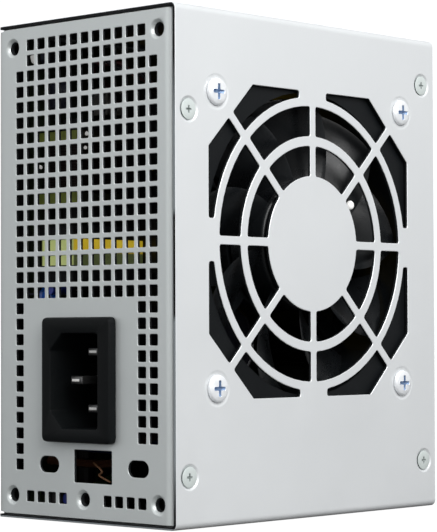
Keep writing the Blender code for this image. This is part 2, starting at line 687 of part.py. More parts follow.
def filter_choke():
    """A mains choke: two flanges on a spool, a winding between them and a closed core."""
    y0, y1, x0, x1 = -43.4, -25.4, SEAT, -9.3
    mid_x, mid_y = (x0 + x1) / 2, -34.4
    bobbin = box("filter_choke_bobbin", (x0, y0, 79.4), (x1, y1, 82.0), OLIVE_BOBBIN)
    flange = boxes("bobbin_upper_flange", [((x0, y0, 95.0), (x1, y1, 97.6))], CUTTERS)

    def square_tube(name, half, low, high):
        """A square cutter on the choke's upright axis."""
        return boxes(name, [((mid_x - half, mid_y - half, low), (mid_x + half, mid_y + half, high))], CUTTERS)

    bore = square_tube("bobbin_bore_cutter", 3.8, 70, 105)
    spool = square_tube("bobbin_spool", 5.0, 79.8, 97.2)
    combine(bobbin, "UNION", (spool, flange))
    combine(bobbin, "DIFFERENCE", (bore,))
    winding = box("filter_choke_winding", (mid_x - 6.8, mid_y - 8, 82.3), (mid_x + 6.8, mid_y + 8, 94.7),
                  COPPER)
    hole = square_tube("choke_winding_cutter", 5.3, 80, 97)
    combine(bevel(winding, 1.5), "DIFFERENCE", (hole,))
    core = box("filter_choke_core", (mid_x - 3.5, mid_y - 3.5, 75.9), (mid_x + 3.5, -17.4, 101.1), FERRITE)
    window = boxes("choke_core_cutter", [((mid_x - 5, mid_y + 3.5, 79.1), (mid_x + 5, -21.0, 97.9))], CUTTERS)
    combine(core, "DIFFERENCE", (window,))


def can(name, centre, radius, top, material):
    """An upright round capacitor with a rolled edge, on the board."""
    y, z = centre
    profile = [(0, top - 0.3), (radius - 1.6, top - 0.3), (radius - 1.2, top), (radius, top - 0.9),
               (radius, SEAT), (0, SEAT)]
    return turned(name, profile, (0, y, z), "X", material, 16)


def capacitors():
    for number, z in enumerate((17.5, 43.5), 1):
        can(f"bulk_capacitor_{number}", (-9.5, z), 11.0, 11.0, CAP_SLEEVE)
    for number, z in enumerate((43.0, 55.0), 1):
        can(f"output_capacitor_{number}", (40.0, z), 5.0, -3.5, CAP_SLEEVE)
    bevel(box("mains_film_capacitor", (SEAT, -42.0, 27.0), (-13.2, -26.0, 43.0), YELLOW_CASE), 0.8)
    disc = [(0, 1.5), (3.2, 1.3), (4.6, 0), (3.2, -1.3), (0, -1.5)]
    for number, (x, y, z) in enumerate(((-15.9, -46.9, 54.0), (-18.5, -41.0, 107.0)), 1):
        turned(f"disc_capacitor_{number}", disc, (x, y, z), "Y", BLUE_RESIN, 16)


def output_choke():
    """A ring core lying flat, inside a winding that leaves a gap at its ends."""
    centre = (-16.6, 31.0, 20.5)
    core = [(6.4, 3.6), (10.6, 3.6), (10.6, -3.6), (6.4, -3.6)]
    turned("output_choke_core", core, centre, "X", FERRITE, 24, closed=True)
    winding = [(5.0, 5.2), (12.0, 5.2), (12.0, -5.2), (5.0, -5.2)]
    ring = turned("output_choke_winding", winding, centre, "X", COPPER, 24, closed=True)
    hollow = [(6.1, 3.9), (10.9, 3.9), (10.9, -3.9), (6.1, -3.9)]
    cutter = turned("choke_hollow_cutter", hollow, centre, "X", None, 24, closed=True, group=CUTTERS)
    notch = boxes("choke_notch_cutter", [((-30, 31 - 2.5, 24.0), (-5, 31 + 2.5, 36.0))], CUTTERS)
    combine(ring, "DIFFERENCE", (cutter, notch))


def mains_parts():
    """The fuse and the bridge rectifier, and the tab that the earth wire goes to."""
    fuse = [(0, 9.5), (2.8, 9.5), (2.8, 4.5), (2.5, 4.3), (2.5, -4.3), (2.8, -4.5), (2.8, -9.5), (0, -9.5)]
    turned("mains_fuse", fuse, (-20.0, -30.0, 12.5), "Z", FUSE_CERAMIC, 12)
    bevel(box("bridge_rectifier", (-22.0, 4.5, 30.0), (-7.0, 8.0, 50.0), CHIP_RESIN), 0.5, 1)
    inside = INLET_INSIDE + GAP
    box("earth_tab", (-15.0, inside, 4.5), (-8.5, inside + 0.8, 9.5), PIN_METAL)


def wiring():
    """The wires from the inlet's pins and from the fan, along their real routes."""
    wire("line_wire", [(1.0, -26.9, 42.0), (0.8, -24.6, 40.0), (-0.5, -23.6, 31.0), (-1.5, -25.0, 20.0),
                       (-5.0, -31.0, 14.2), (-11.0, -36.5, 13.6), (-18.0, -38.6, 14.0), (-24.0, -39.0, 14.0)],
         1.1, BROWN_WIRE)
    wire("neutral_wire", [(1.4, -26.9, 28.0), (2.4, -25.0, 26.0), (2.2, -24.6, 19.5), (-1.5, -30.0, 17.2),
                          (-10.0, -36.4, 17.4), (-18.0, -38.6, 18.6), (-24.0, -39.0, 19.0)], 1.1, BLUE_WIRE)
    wire("earth_wire", [(-4.2, -26.9, 35.0), (-6.2, -24.8, 33.0), (-7.4, -23.8, 25.0), (-8.0, -26.0, 14.0),
                        (-9.0, -35.0, 8.4), (-11.0, -44.0, 7.0), (-11.7, -47.6, 7.0)], 1.0, EARTH_WIRE)
    wire("fan_lead", [(13.6, -13.5, 82.4), (13.6, -20.0, 89.0), (13.6, -30.0, 99.0), (12.6, -38.5, 107.5),
                      (7.0, -42.5, 112.0), (-4.0, -42.0, 114.5), (-12.5, -33.0, 112.0),
                      (-15.6, -21.5, 107.0)], 1.3, BLACK_PLASTIC)
    box("fan_connector", (SEAT, -24.6, 103.4), (-17.4, -17.6, 110.6), WHITE_NYLON)


def cable_grommet():
    """A grooved ring in the hole of the cable panel."""
    x, z = OUTLET_CENTRE
    inner, groove, lip = 8.4, OUTLET_RADIUS - GAP, OUTLET_RADIUS + 1.6
    outside, inside = HALF_Y + GAP, HALF_Y - SHEET - GAP
    profile = [(inner, outside + 1.4), (lip - 0.6, outside + 1.4), (lip, outside + 0.8), (lip, outside),
               (groove, outside), (groove, inside), (lip, inside), (lip, inside - 1.4), (inner, inside - 1.4)]
    turned("cable_grommet", profile, (x, 0, z), "Y", BLACK_PLASTIC, 24, closed=True)


def build():
    axis = bpy.data.objects.new("fan_axis", None)
    axis.location = (0, 0, FAN_Z * MM)
    PARTS.objects.link(axis)
    base_shell()
    cover_shell()
    cover_screws()
    fan_screws()
    fan_frame()
    fan_rotor(axis)
    fan_motor()
    inlet_housing()
    inlet_pins()
    board_hardware()
    heat_sinks()
    main_transformer()
    standby_transformer()
    filter_choke()
    capacitors()
    output_choke()
    mains_parts()
    wiring()
    cable_grommet()


build()
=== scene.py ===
# %% [markdown]
# # A small computer power supply
# The maker's frame already holds every piece as a plain solid: two folded steel sheets, a fan, a mains
# inlet and the board behind them. This lesson gives the outside pieces their fine shapes, and gives
# every piece its finish. It first loads the frame, and notes its box so that the sizes can be compared
# at the end.

# %% Load the frame
import json
import math

import bmesh
import bpy
from mathutils import Matrix, Vector, noise as surface_noise


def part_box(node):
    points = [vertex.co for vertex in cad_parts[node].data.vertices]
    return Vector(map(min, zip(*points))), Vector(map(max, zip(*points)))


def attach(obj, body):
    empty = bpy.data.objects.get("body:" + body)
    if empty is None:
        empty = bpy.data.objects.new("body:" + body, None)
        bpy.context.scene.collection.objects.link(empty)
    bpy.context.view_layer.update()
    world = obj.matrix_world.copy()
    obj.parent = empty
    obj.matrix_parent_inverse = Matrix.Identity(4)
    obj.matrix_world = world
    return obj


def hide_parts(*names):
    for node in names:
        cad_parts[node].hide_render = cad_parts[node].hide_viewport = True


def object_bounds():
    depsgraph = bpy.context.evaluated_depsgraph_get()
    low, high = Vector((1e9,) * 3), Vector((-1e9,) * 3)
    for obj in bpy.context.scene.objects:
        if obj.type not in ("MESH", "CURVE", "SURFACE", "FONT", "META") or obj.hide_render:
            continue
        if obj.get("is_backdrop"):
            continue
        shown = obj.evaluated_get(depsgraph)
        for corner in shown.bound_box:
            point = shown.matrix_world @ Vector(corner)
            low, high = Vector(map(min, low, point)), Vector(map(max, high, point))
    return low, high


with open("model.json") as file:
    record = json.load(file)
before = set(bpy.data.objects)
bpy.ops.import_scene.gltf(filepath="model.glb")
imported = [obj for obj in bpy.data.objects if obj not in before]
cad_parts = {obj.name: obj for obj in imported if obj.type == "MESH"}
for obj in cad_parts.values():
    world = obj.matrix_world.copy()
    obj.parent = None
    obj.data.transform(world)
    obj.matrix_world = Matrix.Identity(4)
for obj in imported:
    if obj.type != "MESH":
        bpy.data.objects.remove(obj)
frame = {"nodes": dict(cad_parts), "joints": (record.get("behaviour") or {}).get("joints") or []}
cad_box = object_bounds()
nodes = frame["nodes"]
print("nodes in the frame:", len(nodes))

# %% [markdown]
# ## Sizes
# Sheet metal is drawn in millimetres. The frame is in metres, so its boxes are divided by MM on the way
# in, and each finished mesh is scaled by MM on the way out. What the frame knows is read from it. What
# it doesn't say, such as where the vent holes are punched, is named here once.

# %% Sizes from the frame
MM = 0.001


def corners(node):
    """A node's lowest and highest corners, in millimetres."""
    low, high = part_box(node)
    return low / MM, high / MM


def middle(node):
    low, high = corners(node)
    return (low + high) / 2


cover_low, cover_high = corners("cover_shell")
HALF_X, HALF_Y, HEIGHT = cover_high
COVER_EDGE, FLANGE_X = cover_low.x, corners("base_shell")[1].x
FAN_Z = frame["joints"][0]["pos_m"][2] / MM
SHEET, GAP = 0.8, 0.3
TRIM = SHEET + GAP
print(f"case {2 * HALF_X:.1f} x {2 * HALF_Y:.1f} x {HEIGHT:.1f} mm, fan at {FAN_Z:.1f} mm")

# %% Sizes of the punching
BASE_BEND, COVER_BEND, FLANGE = 2.2, 1.6, 8.6
VENT_SIDE, VENT_CORNER = 2.75, 0.35
VENT_STEP_X, VENT_STEP_Z = 3.956, 3.915
VENT_FIRST = (-23.18, 119.31)
SWITCH_CUTOUT = ((-3.25, 9.9), (10.0, 18.0))
SLOT_CENTRES = ((-12.24, 14.0), (19.07, 14.0))
SLOT_LENGTH, SLOT_WIDTH = 7.0, 4.1
MOUNT_HOLES = ((-25.75, 5.8), (0.0, 5.8), (25.75, 5.8), (-25.75, 119.0), (25.75, 119.0))
SPACER_HOLE, FLANGE_HOLE = 2.6, 1.8
GRILLE_RINGS = ((17.1, 24.75), (27.2, 34.8))
GRILLE_OUTER, GRILLE_HALF, GRILLE_FLAT, GRILLE_LAND = 37.0, 38.5, 22.6, 5.2
SPOKE_WIDTH, WINDOW_CORNER, WINDOW_STEPS = 2.1, 0.7, 8
SOCKET_HALF = (11.0, 13.7)
OUTLET_RADIUS, CUTOUT_CORNER = 10.0, 0.3
NOTCH, RAMP, PLATE_INSET = 0.3, 1.4, 0.4
LIP = 0.12

# %% [markdown]
# ## Shared surface effects
# Almost no surface is one flat colour. Zinc plating is cloudy, rolled steel has faint lines along the
# roll, mouldings have a fine texture and everything gathers a little dust. Each effect is a shader node
# group, made once, with named inputs, so that every finish can use it at its own strength. The groups
# only put out colours, values and heights. The shader itself stays in each material.

# %% A helper that makes a node group
GREY = (0.5, 0.5, 0.5, 1.0)


def node_group(name, inputs, outputs):
    """An empty shader group with sockets given as (name, type, default)."""
    group = bpy.data.node_groups.new(name, "ShaderNodeTree")
    for label, kind, default in inputs:
        socket = group.interface.new_socket(name=label, in_out="INPUT", socket_type="NodeSocket" + kind)
        if default is not None:
            socket.default_value = default
    for label, kind in outputs:
        group.interface.new_socket(name=label, in_out="OUTPUT", socket_type="NodeSocket" + kind)
    return group, group.nodes.new("NodeGroupInput"), group.nodes.new("NodeGroupOutput")


def noise(tree, vector, scale, detail=3.0, roughness=0.55):
    """A noise texture. The scale is a number or a socket."""
    node = tree.nodes.new("ShaderNodeTexNoise")
    node.inputs["Detail"].default_value = detail
    node.inputs["Roughness"].default_value = roughness
    tree.links.new(vector, node.inputs["Vector"])
    if isinstance(scale, (int, float)):
        node.inputs["Scale"].default_value = scale
    else:
        tree.links.new(scale, node.inputs["Scale"])
    return node.outputs["Fac"]


def maths(tree, operation, *values, clamp=False):
    """A Math node. Each value is a number or a socket."""
    node = tree.nodes.new("ShaderNodeMath")
    node.operation = operation
    node.use_clamp = clamp
    for socket, value in zip(node.inputs, values):
        if isinstance(value, (int, float)):
            socket.default_value = value
        else:
            tree.links.new(value, socket)
    return node.outputs[0]


def mixed(tree, factor, first, second):
    """A colour mix. Each colour is a tuple or a socket."""
    node = tree.nodes.new("ShaderNodeMix")
    node.data_type = "RGBA"
    for index, value in ((0, factor), (6, first), (7, second)):
        if isinstance(value, (int, float)):
            node.inputs[index].default_value = value
        elif isinstance(value, tuple):
            node.inputs[index].default_value = (*value, 1.0)
        else:
            tree.links.new(value, node.inputs[index])
    return node.outputs[2]


def spread(tree, value, low, high, to_low=0.0, to_high=1.0):
    """A Map Range node that clamps."""
    node = tree.nodes.new("ShaderNodeMapRange")
    tree.links.new(value, node.inputs["Value"])
    for label, number in (("From Min", low), ("From Max", high), ("To Min", to_low), ("To Max", to_high)):
        node.inputs[label].default_value = number
    return node.outputs["Result"]


# %% Cloudy colour, for plating and mouldings
def make_mottle():
    group, start, end = node_group("mottle", [
        ("Vector", "Vector", None), ("Colour", "Color", GREY),
        ("Amount", "Float", 0.1), ("Scale", "Float", 100.0),
    ], [("Colour", "Color"), ("Cloud", "Float")])
    vector = start.outputs["Vector"]
    broad = noise(group, vector, start.outputs["Scale"], 4.0)
    fine = noise(group, vector, maths(group, "MULTIPLY", start.outputs["Scale"], 7.0), 3.0)
    cloud = maths(group, "ADD", maths(group, "MULTIPLY", broad, 0.7), maths(group, "MULTIPLY", fine, 0.3))
    swing = maths(group, "MULTIPLY", maths(group, "SUBTRACT", cloud, 0.5), start.outputs["Amount"])
    bright = maths(group, "ADD", maths(group, "MULTIPLY", swing, 2.0), 1.0)
    scale_colour = group.nodes.new("ShaderNodeVectorMath")
    scale_colour.operation = "SCALE"
    group.links.new(start.outputs["Colour"], scale_colour.inputs[0])
    group.links.new(bright, scale_colour.inputs["Scale"])
    group.links.new(scale_colour.outputs[0], end.inputs["Colour"])
    group.links.new(cloud, end.inputs["Cloud"])
    return group


# %% Fine texture, and the lines that rolling leaves in steel
def make_grain():
    group, start, end = node_group("grain", [
        ("Vector", "Vector", None), ("Scale", "Float", 3000.0),
        ("Lines", "Float", 0.0),
    ], [("Height", "Float")])
    stretch = group.nodes.new("ShaderNodeMapping")
    stretch.inputs["Scale"].default_value = (1.0, 1.0, 0.02)
    group.links.new(start.outputs["Vector"], stretch.inputs["Vector"])
    lines = noise(group, stretch.outputs["Vector"], 2600.0, 2.0)
    speckle = noise(group, start.outputs["Vector"], start.outputs["Scale"], 3.0)
    blend = group.nodes.new("ShaderNodeMix")
    group.links.new(start.outputs["Lines"], blend.inputs[0])
    group.links.new(speckle, blend.inputs[2])
    group.links.new(lines, blend.inputs[3])
    group.links.new(blend.outputs[0], end.inputs["Height"])
    return group


# %% Pale specks of dust
def make_dust():
    group, start, end = node_group("dust", [
        ("Vector", "Vector", None), ("Colour", "Color", GREY),
        ("Amount", "Float", 0.2),
    ], [("Colour", "Color"), ("Mask", "Float")])
    specks = spread(group, noise(group, start.outputs["Vector"], 2200.0, 4.0, 0.7), 0.56, 0.75)
    patches = spread(group, noise(group, start.outputs["Vector"], 70.0, 2.0), 0.35, 0.7)
    mask = maths(group, "MULTIPLY", maths(group, "MULTIPLY", specks, patches), start.outputs["Amount"])
    group.links.new(mixed(group, mask, start.outputs["Colour"], (0.45, 0.44, 0.41)), end.inputs["Colour"])
    group.links.new(mask, end.inputs["Mask"])
    return group


MOTTLE, GRAIN, DUST = make_mottle(), make_grain(), make_dust()
print("shared effects:", [group.name for group in bpy.data.node_groups])

# %% [markdown]
# ## Finishes
# A finish is a Principled shader with the shared effects in front of it. Steel sheet is given as partly
# metallic, because zinc plating scatters much of its light. Numbers that are the same all over stay on
# the shader's own sockets.

# %% A finish
def place_group(tree, group, vector, **values):
    node = tree.nodes.new("ShaderNodeGroup")
    node.node_tree = group
    tree.links.new(vector, node.inputs["Vector"])
    for label, value in values.items():
        socket = node.inputs[label]
        if isinstance(value, (int, float)):
            socket.default_value = value
        elif isinstance(value, tuple):
            socket.default_value = (*value, 1.0)
        else:
            tree.links.new(value, socket)
    return node


ROUGH_SWING, BUMP_DEPTH = 0.08, 0.0002


def finish(name, colour, roughness, metallic=0.0, mottle=0.12, cloud=140.0, grain=3000.0, lines=0.0,
           bump=0.05, dust=0.0, coat=0.0, shine=0.5):
    """A material whose colour, roughness and surface vary, on Object coordinates."""
    material = bpy.data.materials.new(name)
    material.use_nodes = True
    tree = material.node_tree
    shader = tree.nodes["Principled BSDF"]
    vector = tree.nodes.new("ShaderNodeTexCoord").outputs["Object"]
    clouds = place_group(tree, MOTTLE, vector, Colour=colour, Amount=mottle, Scale=cloud)
    colour_out = clouds.outputs["Colour"]
    rough = spread(tree, clouds.outputs["Cloud"], 0.3, 0.7, roughness - ROUGH_SWING,
                   roughness + ROUGH_SWING)
    if dust:
        dusty = place_group(tree, DUST, vector, Colour=colour_out, Amount=dust)
        colour_out = dusty.outputs["Colour"]
        rough = maths(tree, "ADD", rough, maths(tree, "MULTIPLY", dusty.outputs["Mask"], 0.5), clamp=True)
    tree.links.new(colour_out, shader.inputs["Base Color"])
    tree.links.new(rough, shader.inputs["Roughness"])
    shader.inputs["Metallic"].default_value = metallic
    shader.inputs["Coat Weight"].default_value = coat
    shader.inputs["Specular IOR Level"].default_value = shine
    texture = place_group(tree, GRAIN, vector, Scale=grain, Lines=lines)
    raised = tree.nodes.new("ShaderNodeBump")
    raised.inputs["Strength"].default_value = bump
    raised.inputs["Distance"].default_value = BUMP_DEPTH
    tree.links.new(texture.outputs["Height"], raised.inputs["Height"])
    tree.links.new(raised.outputs["Normal"], shader.inputs["Normal"])
    return material


# %% The finishes of this power supply
BASE_STEEL = finish("zinc_plated_base", (0.69, 0.725, 0.72), 0.42, 0.40, mottle=0.035, cloud=45, lines=0.35,
                    bump=0.06, dust=0.03)
COVER_STEEL = finish("pale_plated_cover", (0.80, 0.82, 0.83), 0.40, 0.35, mottle=0.02, cloud=35,
                     lines=0.35, bump=0.05, dust=0.03)
# Walls of the punched holes and the deep insides of the wells get this near black: painted shade.
PUNCH_WALL_SHADE = finish("punch_wall_painted_shade", (0.020, 0.022, 0.024), 0.55, 0.2, mottle=0.3, cloud=500, bump=0.2, shine=0.2)
# The back of each sheet, inside the case, is darkened to this grey: painted shade.
INSIDE_SHADE = finish("inside_painted_shade", (0.16, 0.17, 0.17), 0.50, 0.2, mottle=0.1, cloud=60, bump=0.05, shine=0.3)
SCREW_ZINC = finish("bright_zinc_screw", (0.86, 0.88, 0.90), 0.36, 0.20, mottle=0.06, cloud=400, bump=0.08)
# The cross recesses of both kinds of screw are darker than their heads: painted shade.
FAN_CROSS_SHADE = finish("fan_recess_painted_shade", (0.22, 0.32, 0.50), 0.38, 0.4, mottle=0.35, cloud=900, bump=0.1)
COVER_SCREW = finish("pale_zinc_screw", (0.74, 0.80, 0.78), 0.38, 0.35, mottle=0.06, cloud=400, bump=0.08)
COVER_CROSS_SHADE = finish("cover_recess_painted_shade", (0.42, 0.46, 0.45), 0.40, 0.4, mottle=0.3, cloud=900, bump=0.1)
DULL_STEEL = finish("dull_steel", (0.05, 0.055, 0.075), 0.45, 0.6, mottle=0.2, cloud=300, bump=0.1, shine=0.3)
FAN_BLACK = finish("fan_black", (0.006, 0.007, 0.008), 0.30, mottle=0.3, grain=2500, bump=0.05, dust=0.04,
                   shine=0.30)
FRAME_BLACK = finish("fan_frame_black", (0.005, 0.006, 0.007), 0.42, mottle=0.3, grain=3000, bump=0.10,
                     dust=0.03, shine=0.18)
SOCKET_BLACK = finish("socket_black", (0.004, 0.005, 0.0055), 0.46, mottle=0.2, grain=3500, bump=0.2,
                      dust=0.015, shine=0.12)
PIN_NICKEL = finish("pin_nickel", (0.92, 0.91, 0.88), 0.30, 0.25, mottle=0.10, cloud=500, bump=0.04)
# The shank is a darker copy of the pin's nickel: painted shade from the dark cavity round it.
PIN_SHANK_SHADE = finish("pin_shank_painted_shade", (0.10, 0.10, 0.10), 0.40, 0.8, mottle=0.2, cloud=500, bump=0.06, shine=0.3)
BRONZE = finish("sintered_bronze", (0.50, 0.33, 0.14), 0.40, 1.0, grain=4000, bump=0.15)
BOARD = finish("circuit_board", (0.020, 0.030, 0.012), 0.42, mottle=0.25, cloud=200, bump=0.12, shine=0.3)
FILM = finish("insulation_film", (0.02, 0.02, 0.02), 0.35, mottle=0.2, cloud=90, bump=0.08)
HEAT_SINK = finish("dark_heat_sink", (0.035, 0.038, 0.042), 0.42, 0.6, mottle=0.2, lines=0.8, bump=0.12)
CHIP = finish("moulded_chip", (0.012, 0.012, 0.013), 0.50, mottle=0.2, grain=4500, bump=0.2, shine=0.3)
FERRITE = finish("ferrite", (0.012, 0.012, 0.014), 0.50, mottle=0.3, grain=2500, bump=0.25, shine=0.3)
BOBBIN = finish("olive_bobbin", (0.28, 0.33, 0.06), 0.42, mottle=0.25, bump=0.1, shine=0.3)
SLEEVE = finish("capacitor_sleeve", (0.010, 0.010, 0.014), 0.32, mottle=0.2, bump=0.05, shine=0.3)
FILM_CASE = finish("film_capacitor_case", (0.30, 0.30, 0.12), 0.40, mottle=0.15, bump=0.08)
BLUE_DIP = finish("blue_dipped_resin", (0.02, 0.13, 0.62), 0.24, mottle=0.2, cloud=300, bump=0.06, coat=0.4)
DARK_DIP = finish("dark_dipped_resin", (0.014, 0.016, 0.03), 0.30, mottle=0.2, cloud=300, bump=0.06)
HEAT_SHRINK = finish("black_heat_shrink", (0.010, 0.009, 0.009), 0.40, mottle=0.2, bump=0.1, shine=0.3)
BROWN = finish("brown_insulation", (0.10, 0.035, 0.014), 0.36, mottle=0.3, bump=0.05)
ENAMEL = finish("enamelled_copper", (0.26, 0.13, 0.065), 0.35, 0.5, mottle=0.3, cloud=600, bump=0.05)
NAVY = finish("navy_sleeve", (0.012, 0.022, 0.16), 0.38, mottle=0.25, cloud=300, bump=0.05)
# The neutral wire's blue and, below, the fan wire's red are darkened towards black: painted shade inside the
# case.
NEUTRAL_BLUE_SHADED = finish("blue_insulation_painted_shade", (0.006, 0.015, 0.07), 0.40, mottle=0.15, bump=0.05, shine=0.3)
RED_SHADED = finish("red_insulation_painted_shade", (0.05, 0.006, 0.006), 0.40, mottle=0.15, bump=0.05)
NYLON = finish("natural_nylon", (0.35, 0.34, 0.32), 0.42, mottle=0.06, bump=0.06)
SILICONE_GLOWING = finish("white_silicone_painted_glow", (0.92, 0.92, 0.90), 0.35, mottle=0.06, cloud=250, bump=0.12)
# The silicone glows a little, though it is no lamp: painted light that keeps the beads and the putty white.
silicone_glow_shader = SILICONE_GLOWING.node_tree.nodes["Principled BSDF"]
silicone_glow_shader.inputs["Emission Color"].default_value = (1.0, 1.0, 0.96, 1.0)
silicone_glow_shader.inputs["Emission Strength"].default_value = 0.25
RUBBER = finish("grommet_rubber", (0.012, 0.012, 0.012), 0.60, mottle=0.2, bump=0.18, dust=0.08, shine=0.3)
print("finishes:", len(bpy.data.materials))

# %% [markdown]
# Five finishes need a pattern of their own. Enamelled wire lies in turns, so its copper has fine ribs;
# painted shade darkens it nearly to black. The earth wire is green with a yellow stripe, both darkened
# with painted shade. The transformer's tape is one yellow tape painted with light and shade: lit yellow
# on its upper side, shaded green below, a pale lit front whose far end is painted shade, and a painted
# glow. The choke's olive bobbin is darkened with painted shade behind its front. The cover's cut edge is
# painted with the shade of the gap behind it: dark at the top, near the foot and in a band about the
# middle, and lit grey between.

# %% Taking a finish apart
def opened(material):
    """A finish's tree, its shader and the socket of its own colour."""
    tree = material.node_tree
    shader = tree.nodes["Principled BSDF"]
    return tree, shader, shader.inputs["Base Color"].links[0].from_socket


def place_in(tree):
    """The place on the object in metres, as sockets for X, Y and Z."""
    place = tree.nodes.new("ShaderNodeSeparateXYZ")
    tree.links.new(tree.nodes["Texture Coordinate"].outputs["Object"], place.inputs[0])
    return place.outputs


def add_ribs(material, axis, pitch, depth):
    """Adds ribs along an axis under the finish's own texture."""
    tree = material.node_tree
    wave = tree.nodes.new("ShaderNodeTexWave")
    wave.bands_direction = axis
    wave.inputs["Scale"].default_value = 0.314 / pitch
    wave.inputs["Distortion"].default_value = 0.6
    tree.links.new(tree.nodes["Texture Coordinate"].outputs["Object"], wave.inputs["Vector"])
    ribs = tree.nodes.new("ShaderNodeBump")
    ribs.inputs["Strength"].default_value = 0.8
    ribs.inputs["Distance"].default_value = depth
    tree.links.new(wave.outputs["Fac"], ribs.inputs["Height"])
    tree.links.new(ribs.outputs["Normal"], tree.nodes["Bump"].inputs["Normal"])
    return wave.outputs["Fac"]


# %% Wound copper and striped wire
# The copper is darkened nearly to black: painted shade inside the case.
WOUND_COPPER_SHADE = finish("wound_copper_painted_shade", (0.016, 0.009, 0.008), 0.36, 0.5, mottle=0.3, bump=0.1, shine=0.3)
add_ribs(WOUND_COPPER_SHADE, "Z", 0.0007, 0.0002)

# The earth wire's green and its yellow stripe are both darkened: painted shade inside the case.
EARTH_SHADED = finish("green_yellow_painted_shade", (0.012, 0.035, 0.010), 0.40, mottle=0.1, bump=0.05, shine=0.3)
stripe = add_ribs(EARTH_SHADED, "X", 0.004, 0.00001)
tree, shader, green = opened(EARTH_SHADED)
tree.links.new(mixed(tree, spread(tree, stripe, 0.6, 0.7), green, (0.07, 0.06, 0.01)),
               shader.inputs["Base Color"])

# %% Tape with painted light and shade
# The tape's front face is at the first pair of places. Above the second pair its upper side is painted
# lit, below it painted shade, and beyond the third pair its front is painted shade.
TAPE_FRONT, TAPE_LIT_SPLIT, TAPE_SHADE_END = (-0.0433, -0.0430), (0.0668, 0.0674), (-0.0212, -0.0216)
TAPE_PAINTED_LIGHT = finish("yellow_tape", (0.92, 0.68, 0.08), 0.32, mottle=0.45, cloud=420, bump=0.10)
tree, shader, lit_yellow = opened(TAPE_PAINTED_LIGHT)
across, inwards, up = place_in(tree)
front = spread(tree, inwards, *TAPE_FRONT, 1.0, 0.0)
lit_upper = spread(tree, up, *TAPE_LIT_SPLIT)
shaded_end = spread(tree, across, *TAPE_SHADE_END)


def by_light_and_shade(shaded_side, bright, pale, front_end_shade):
    """Colours of painted light and shade: shaded lower side, lit upper side, lit front, shaded front end."""
    return mixed(tree, front, mixed(tree, lit_upper, shaded_side, bright), mixed(tree, shaded_end, pale, front_end_shade))


tree.links.new(by_light_and_shade((0.26, 0.30, 0.11), lit_yellow, (0.78, 0.86, 0.34), (0.01, 0.012, 0.006)),
               shader.inputs["Base Color"])
# The tape also glows, though it is no lamp: painted light, strongest on the lit upper side.
tree.links.new(by_light_and_shade((0.04, 0.05, 0.02), (0.60, 0.42, 0.02), (0.38, 0.43, 0.16), (0.0, 0.0, 0.0)),
               shader.inputs["Emission Color"])
shader.inputs["Emission Strength"].default_value = 0.5

# %% Olive bobbin
# Behind its front the olive bobbin is darkened nearly to black: painted shade.
BOBBIN_LIT_FRONT = (-0.0425, -0.0412)
tree, shader, olive = opened(BOBBIN)
behind_front_shade = spread(tree, place_in(tree)["Y"], *BOBBIN_LIT_FRONT)
tree.links.new(mixed(tree, behind_front_shade, olive, (0.015, 0.016, 0.008)), shader.inputs["Base Color"])

# %% The cover's cut edge
# The edge is painted with the shade of the gap behind it. Heights in metres between which the painted
# shade turns to lit grey, and about which a band of painted shade lies.
LIT_TOP, LIT_FOOT, LIT_SOLE = (0.098, 0.112), (0.004, 0.016), (0.0003, 0.0005)
SHADE_BAND_MIDDLE, SHADE_BAND_REACH = 0.0625, (0.0115, 0.0135)
CUT_EDGE_GAP_SHADE = finish("cut_edge_painted_gap_shade", (0.006, 0.006, 0.007), 0.55, mottle=0.3, cloud=300, bump=0.2, shine=0.15)
tree, shader, edge_shade = opened(CUT_EDGE_GAP_SHADE)
level = place_in(tree)["Z"]
below_top = spread(tree, level, *LIT_TOP, 1.0, 0.0)
above_foot = spread(tree, level, *LIT_FOOT)
from_shade_band = maths(tree, "ABSOLUTE", maths(tree, "SUBTRACT", level, SHADE_BAND_MIDDLE))
outside_shade_band = spread(tree, from_shade_band, *SHADE_BAND_REACH)
lit_share = maths(tree, "MULTIPLY", maths(tree, "MULTIPLY", below_top, above_foot), outside_shade_band)
lit_share = maths(tree, "MAXIMUM", lit_share, spread(tree, level, *LIT_SOLE, 1.0, 0.0))
tree.links.new(mixed(tree, maths(tree, "MULTIPLY", lit_share, 0.8), edge_shade, (0.34, 0.37, 0.39)),
               shader.inputs["Base Color"])
print("patterned finishes made")

# %% [markdown]
# ## The camera, the floor and the light
# The case is looked at from its front right edge, from a little below the middle, with a long lens. The
# room is a plain white one. A large soft light stands to the right, so the fan face is bright and the
# inlet panel is a shade darker. The view transform is Standard, which keeps white as white.

# %% Camera
def placed(name, data):
    """A new object in the scene."""
    thing = bpy.data.objects.new(name, data)
    bpy.context.scene.collection.objects.link(thing)
    return thing


CAMERA_PLACE, CAMERA_ANGLES, LENS = (0.38518, -0.41475, 0.04672), (91.7543, 0.1901, 42.9675), 145.98
camera_data = bpy.data.cameras.new("camera")
camera_data.lens = LENS
camera_data.sensor_width = 36.0
camera_data.clip_start = 0.01
camera = placed("camera", camera_data)
camera.location = CAMERA_PLACE
camera.rotation_euler = tuple(math.radians(angle) for angle in CAMERA_ANGLES)
bpy.context.scene.camera = camera

# %% Floor
def by_sight(tree, lighting, seen, socket):
    """Feeds a socket one value where it lights things, and another where the camera sees it."""
    path = tree.nodes.new("ShaderNodeLightPath")
    tree.links.new(spread(tree, path.outputs["Is Camera Ray"], 0.0, 1.0, lighting, seen), socket)


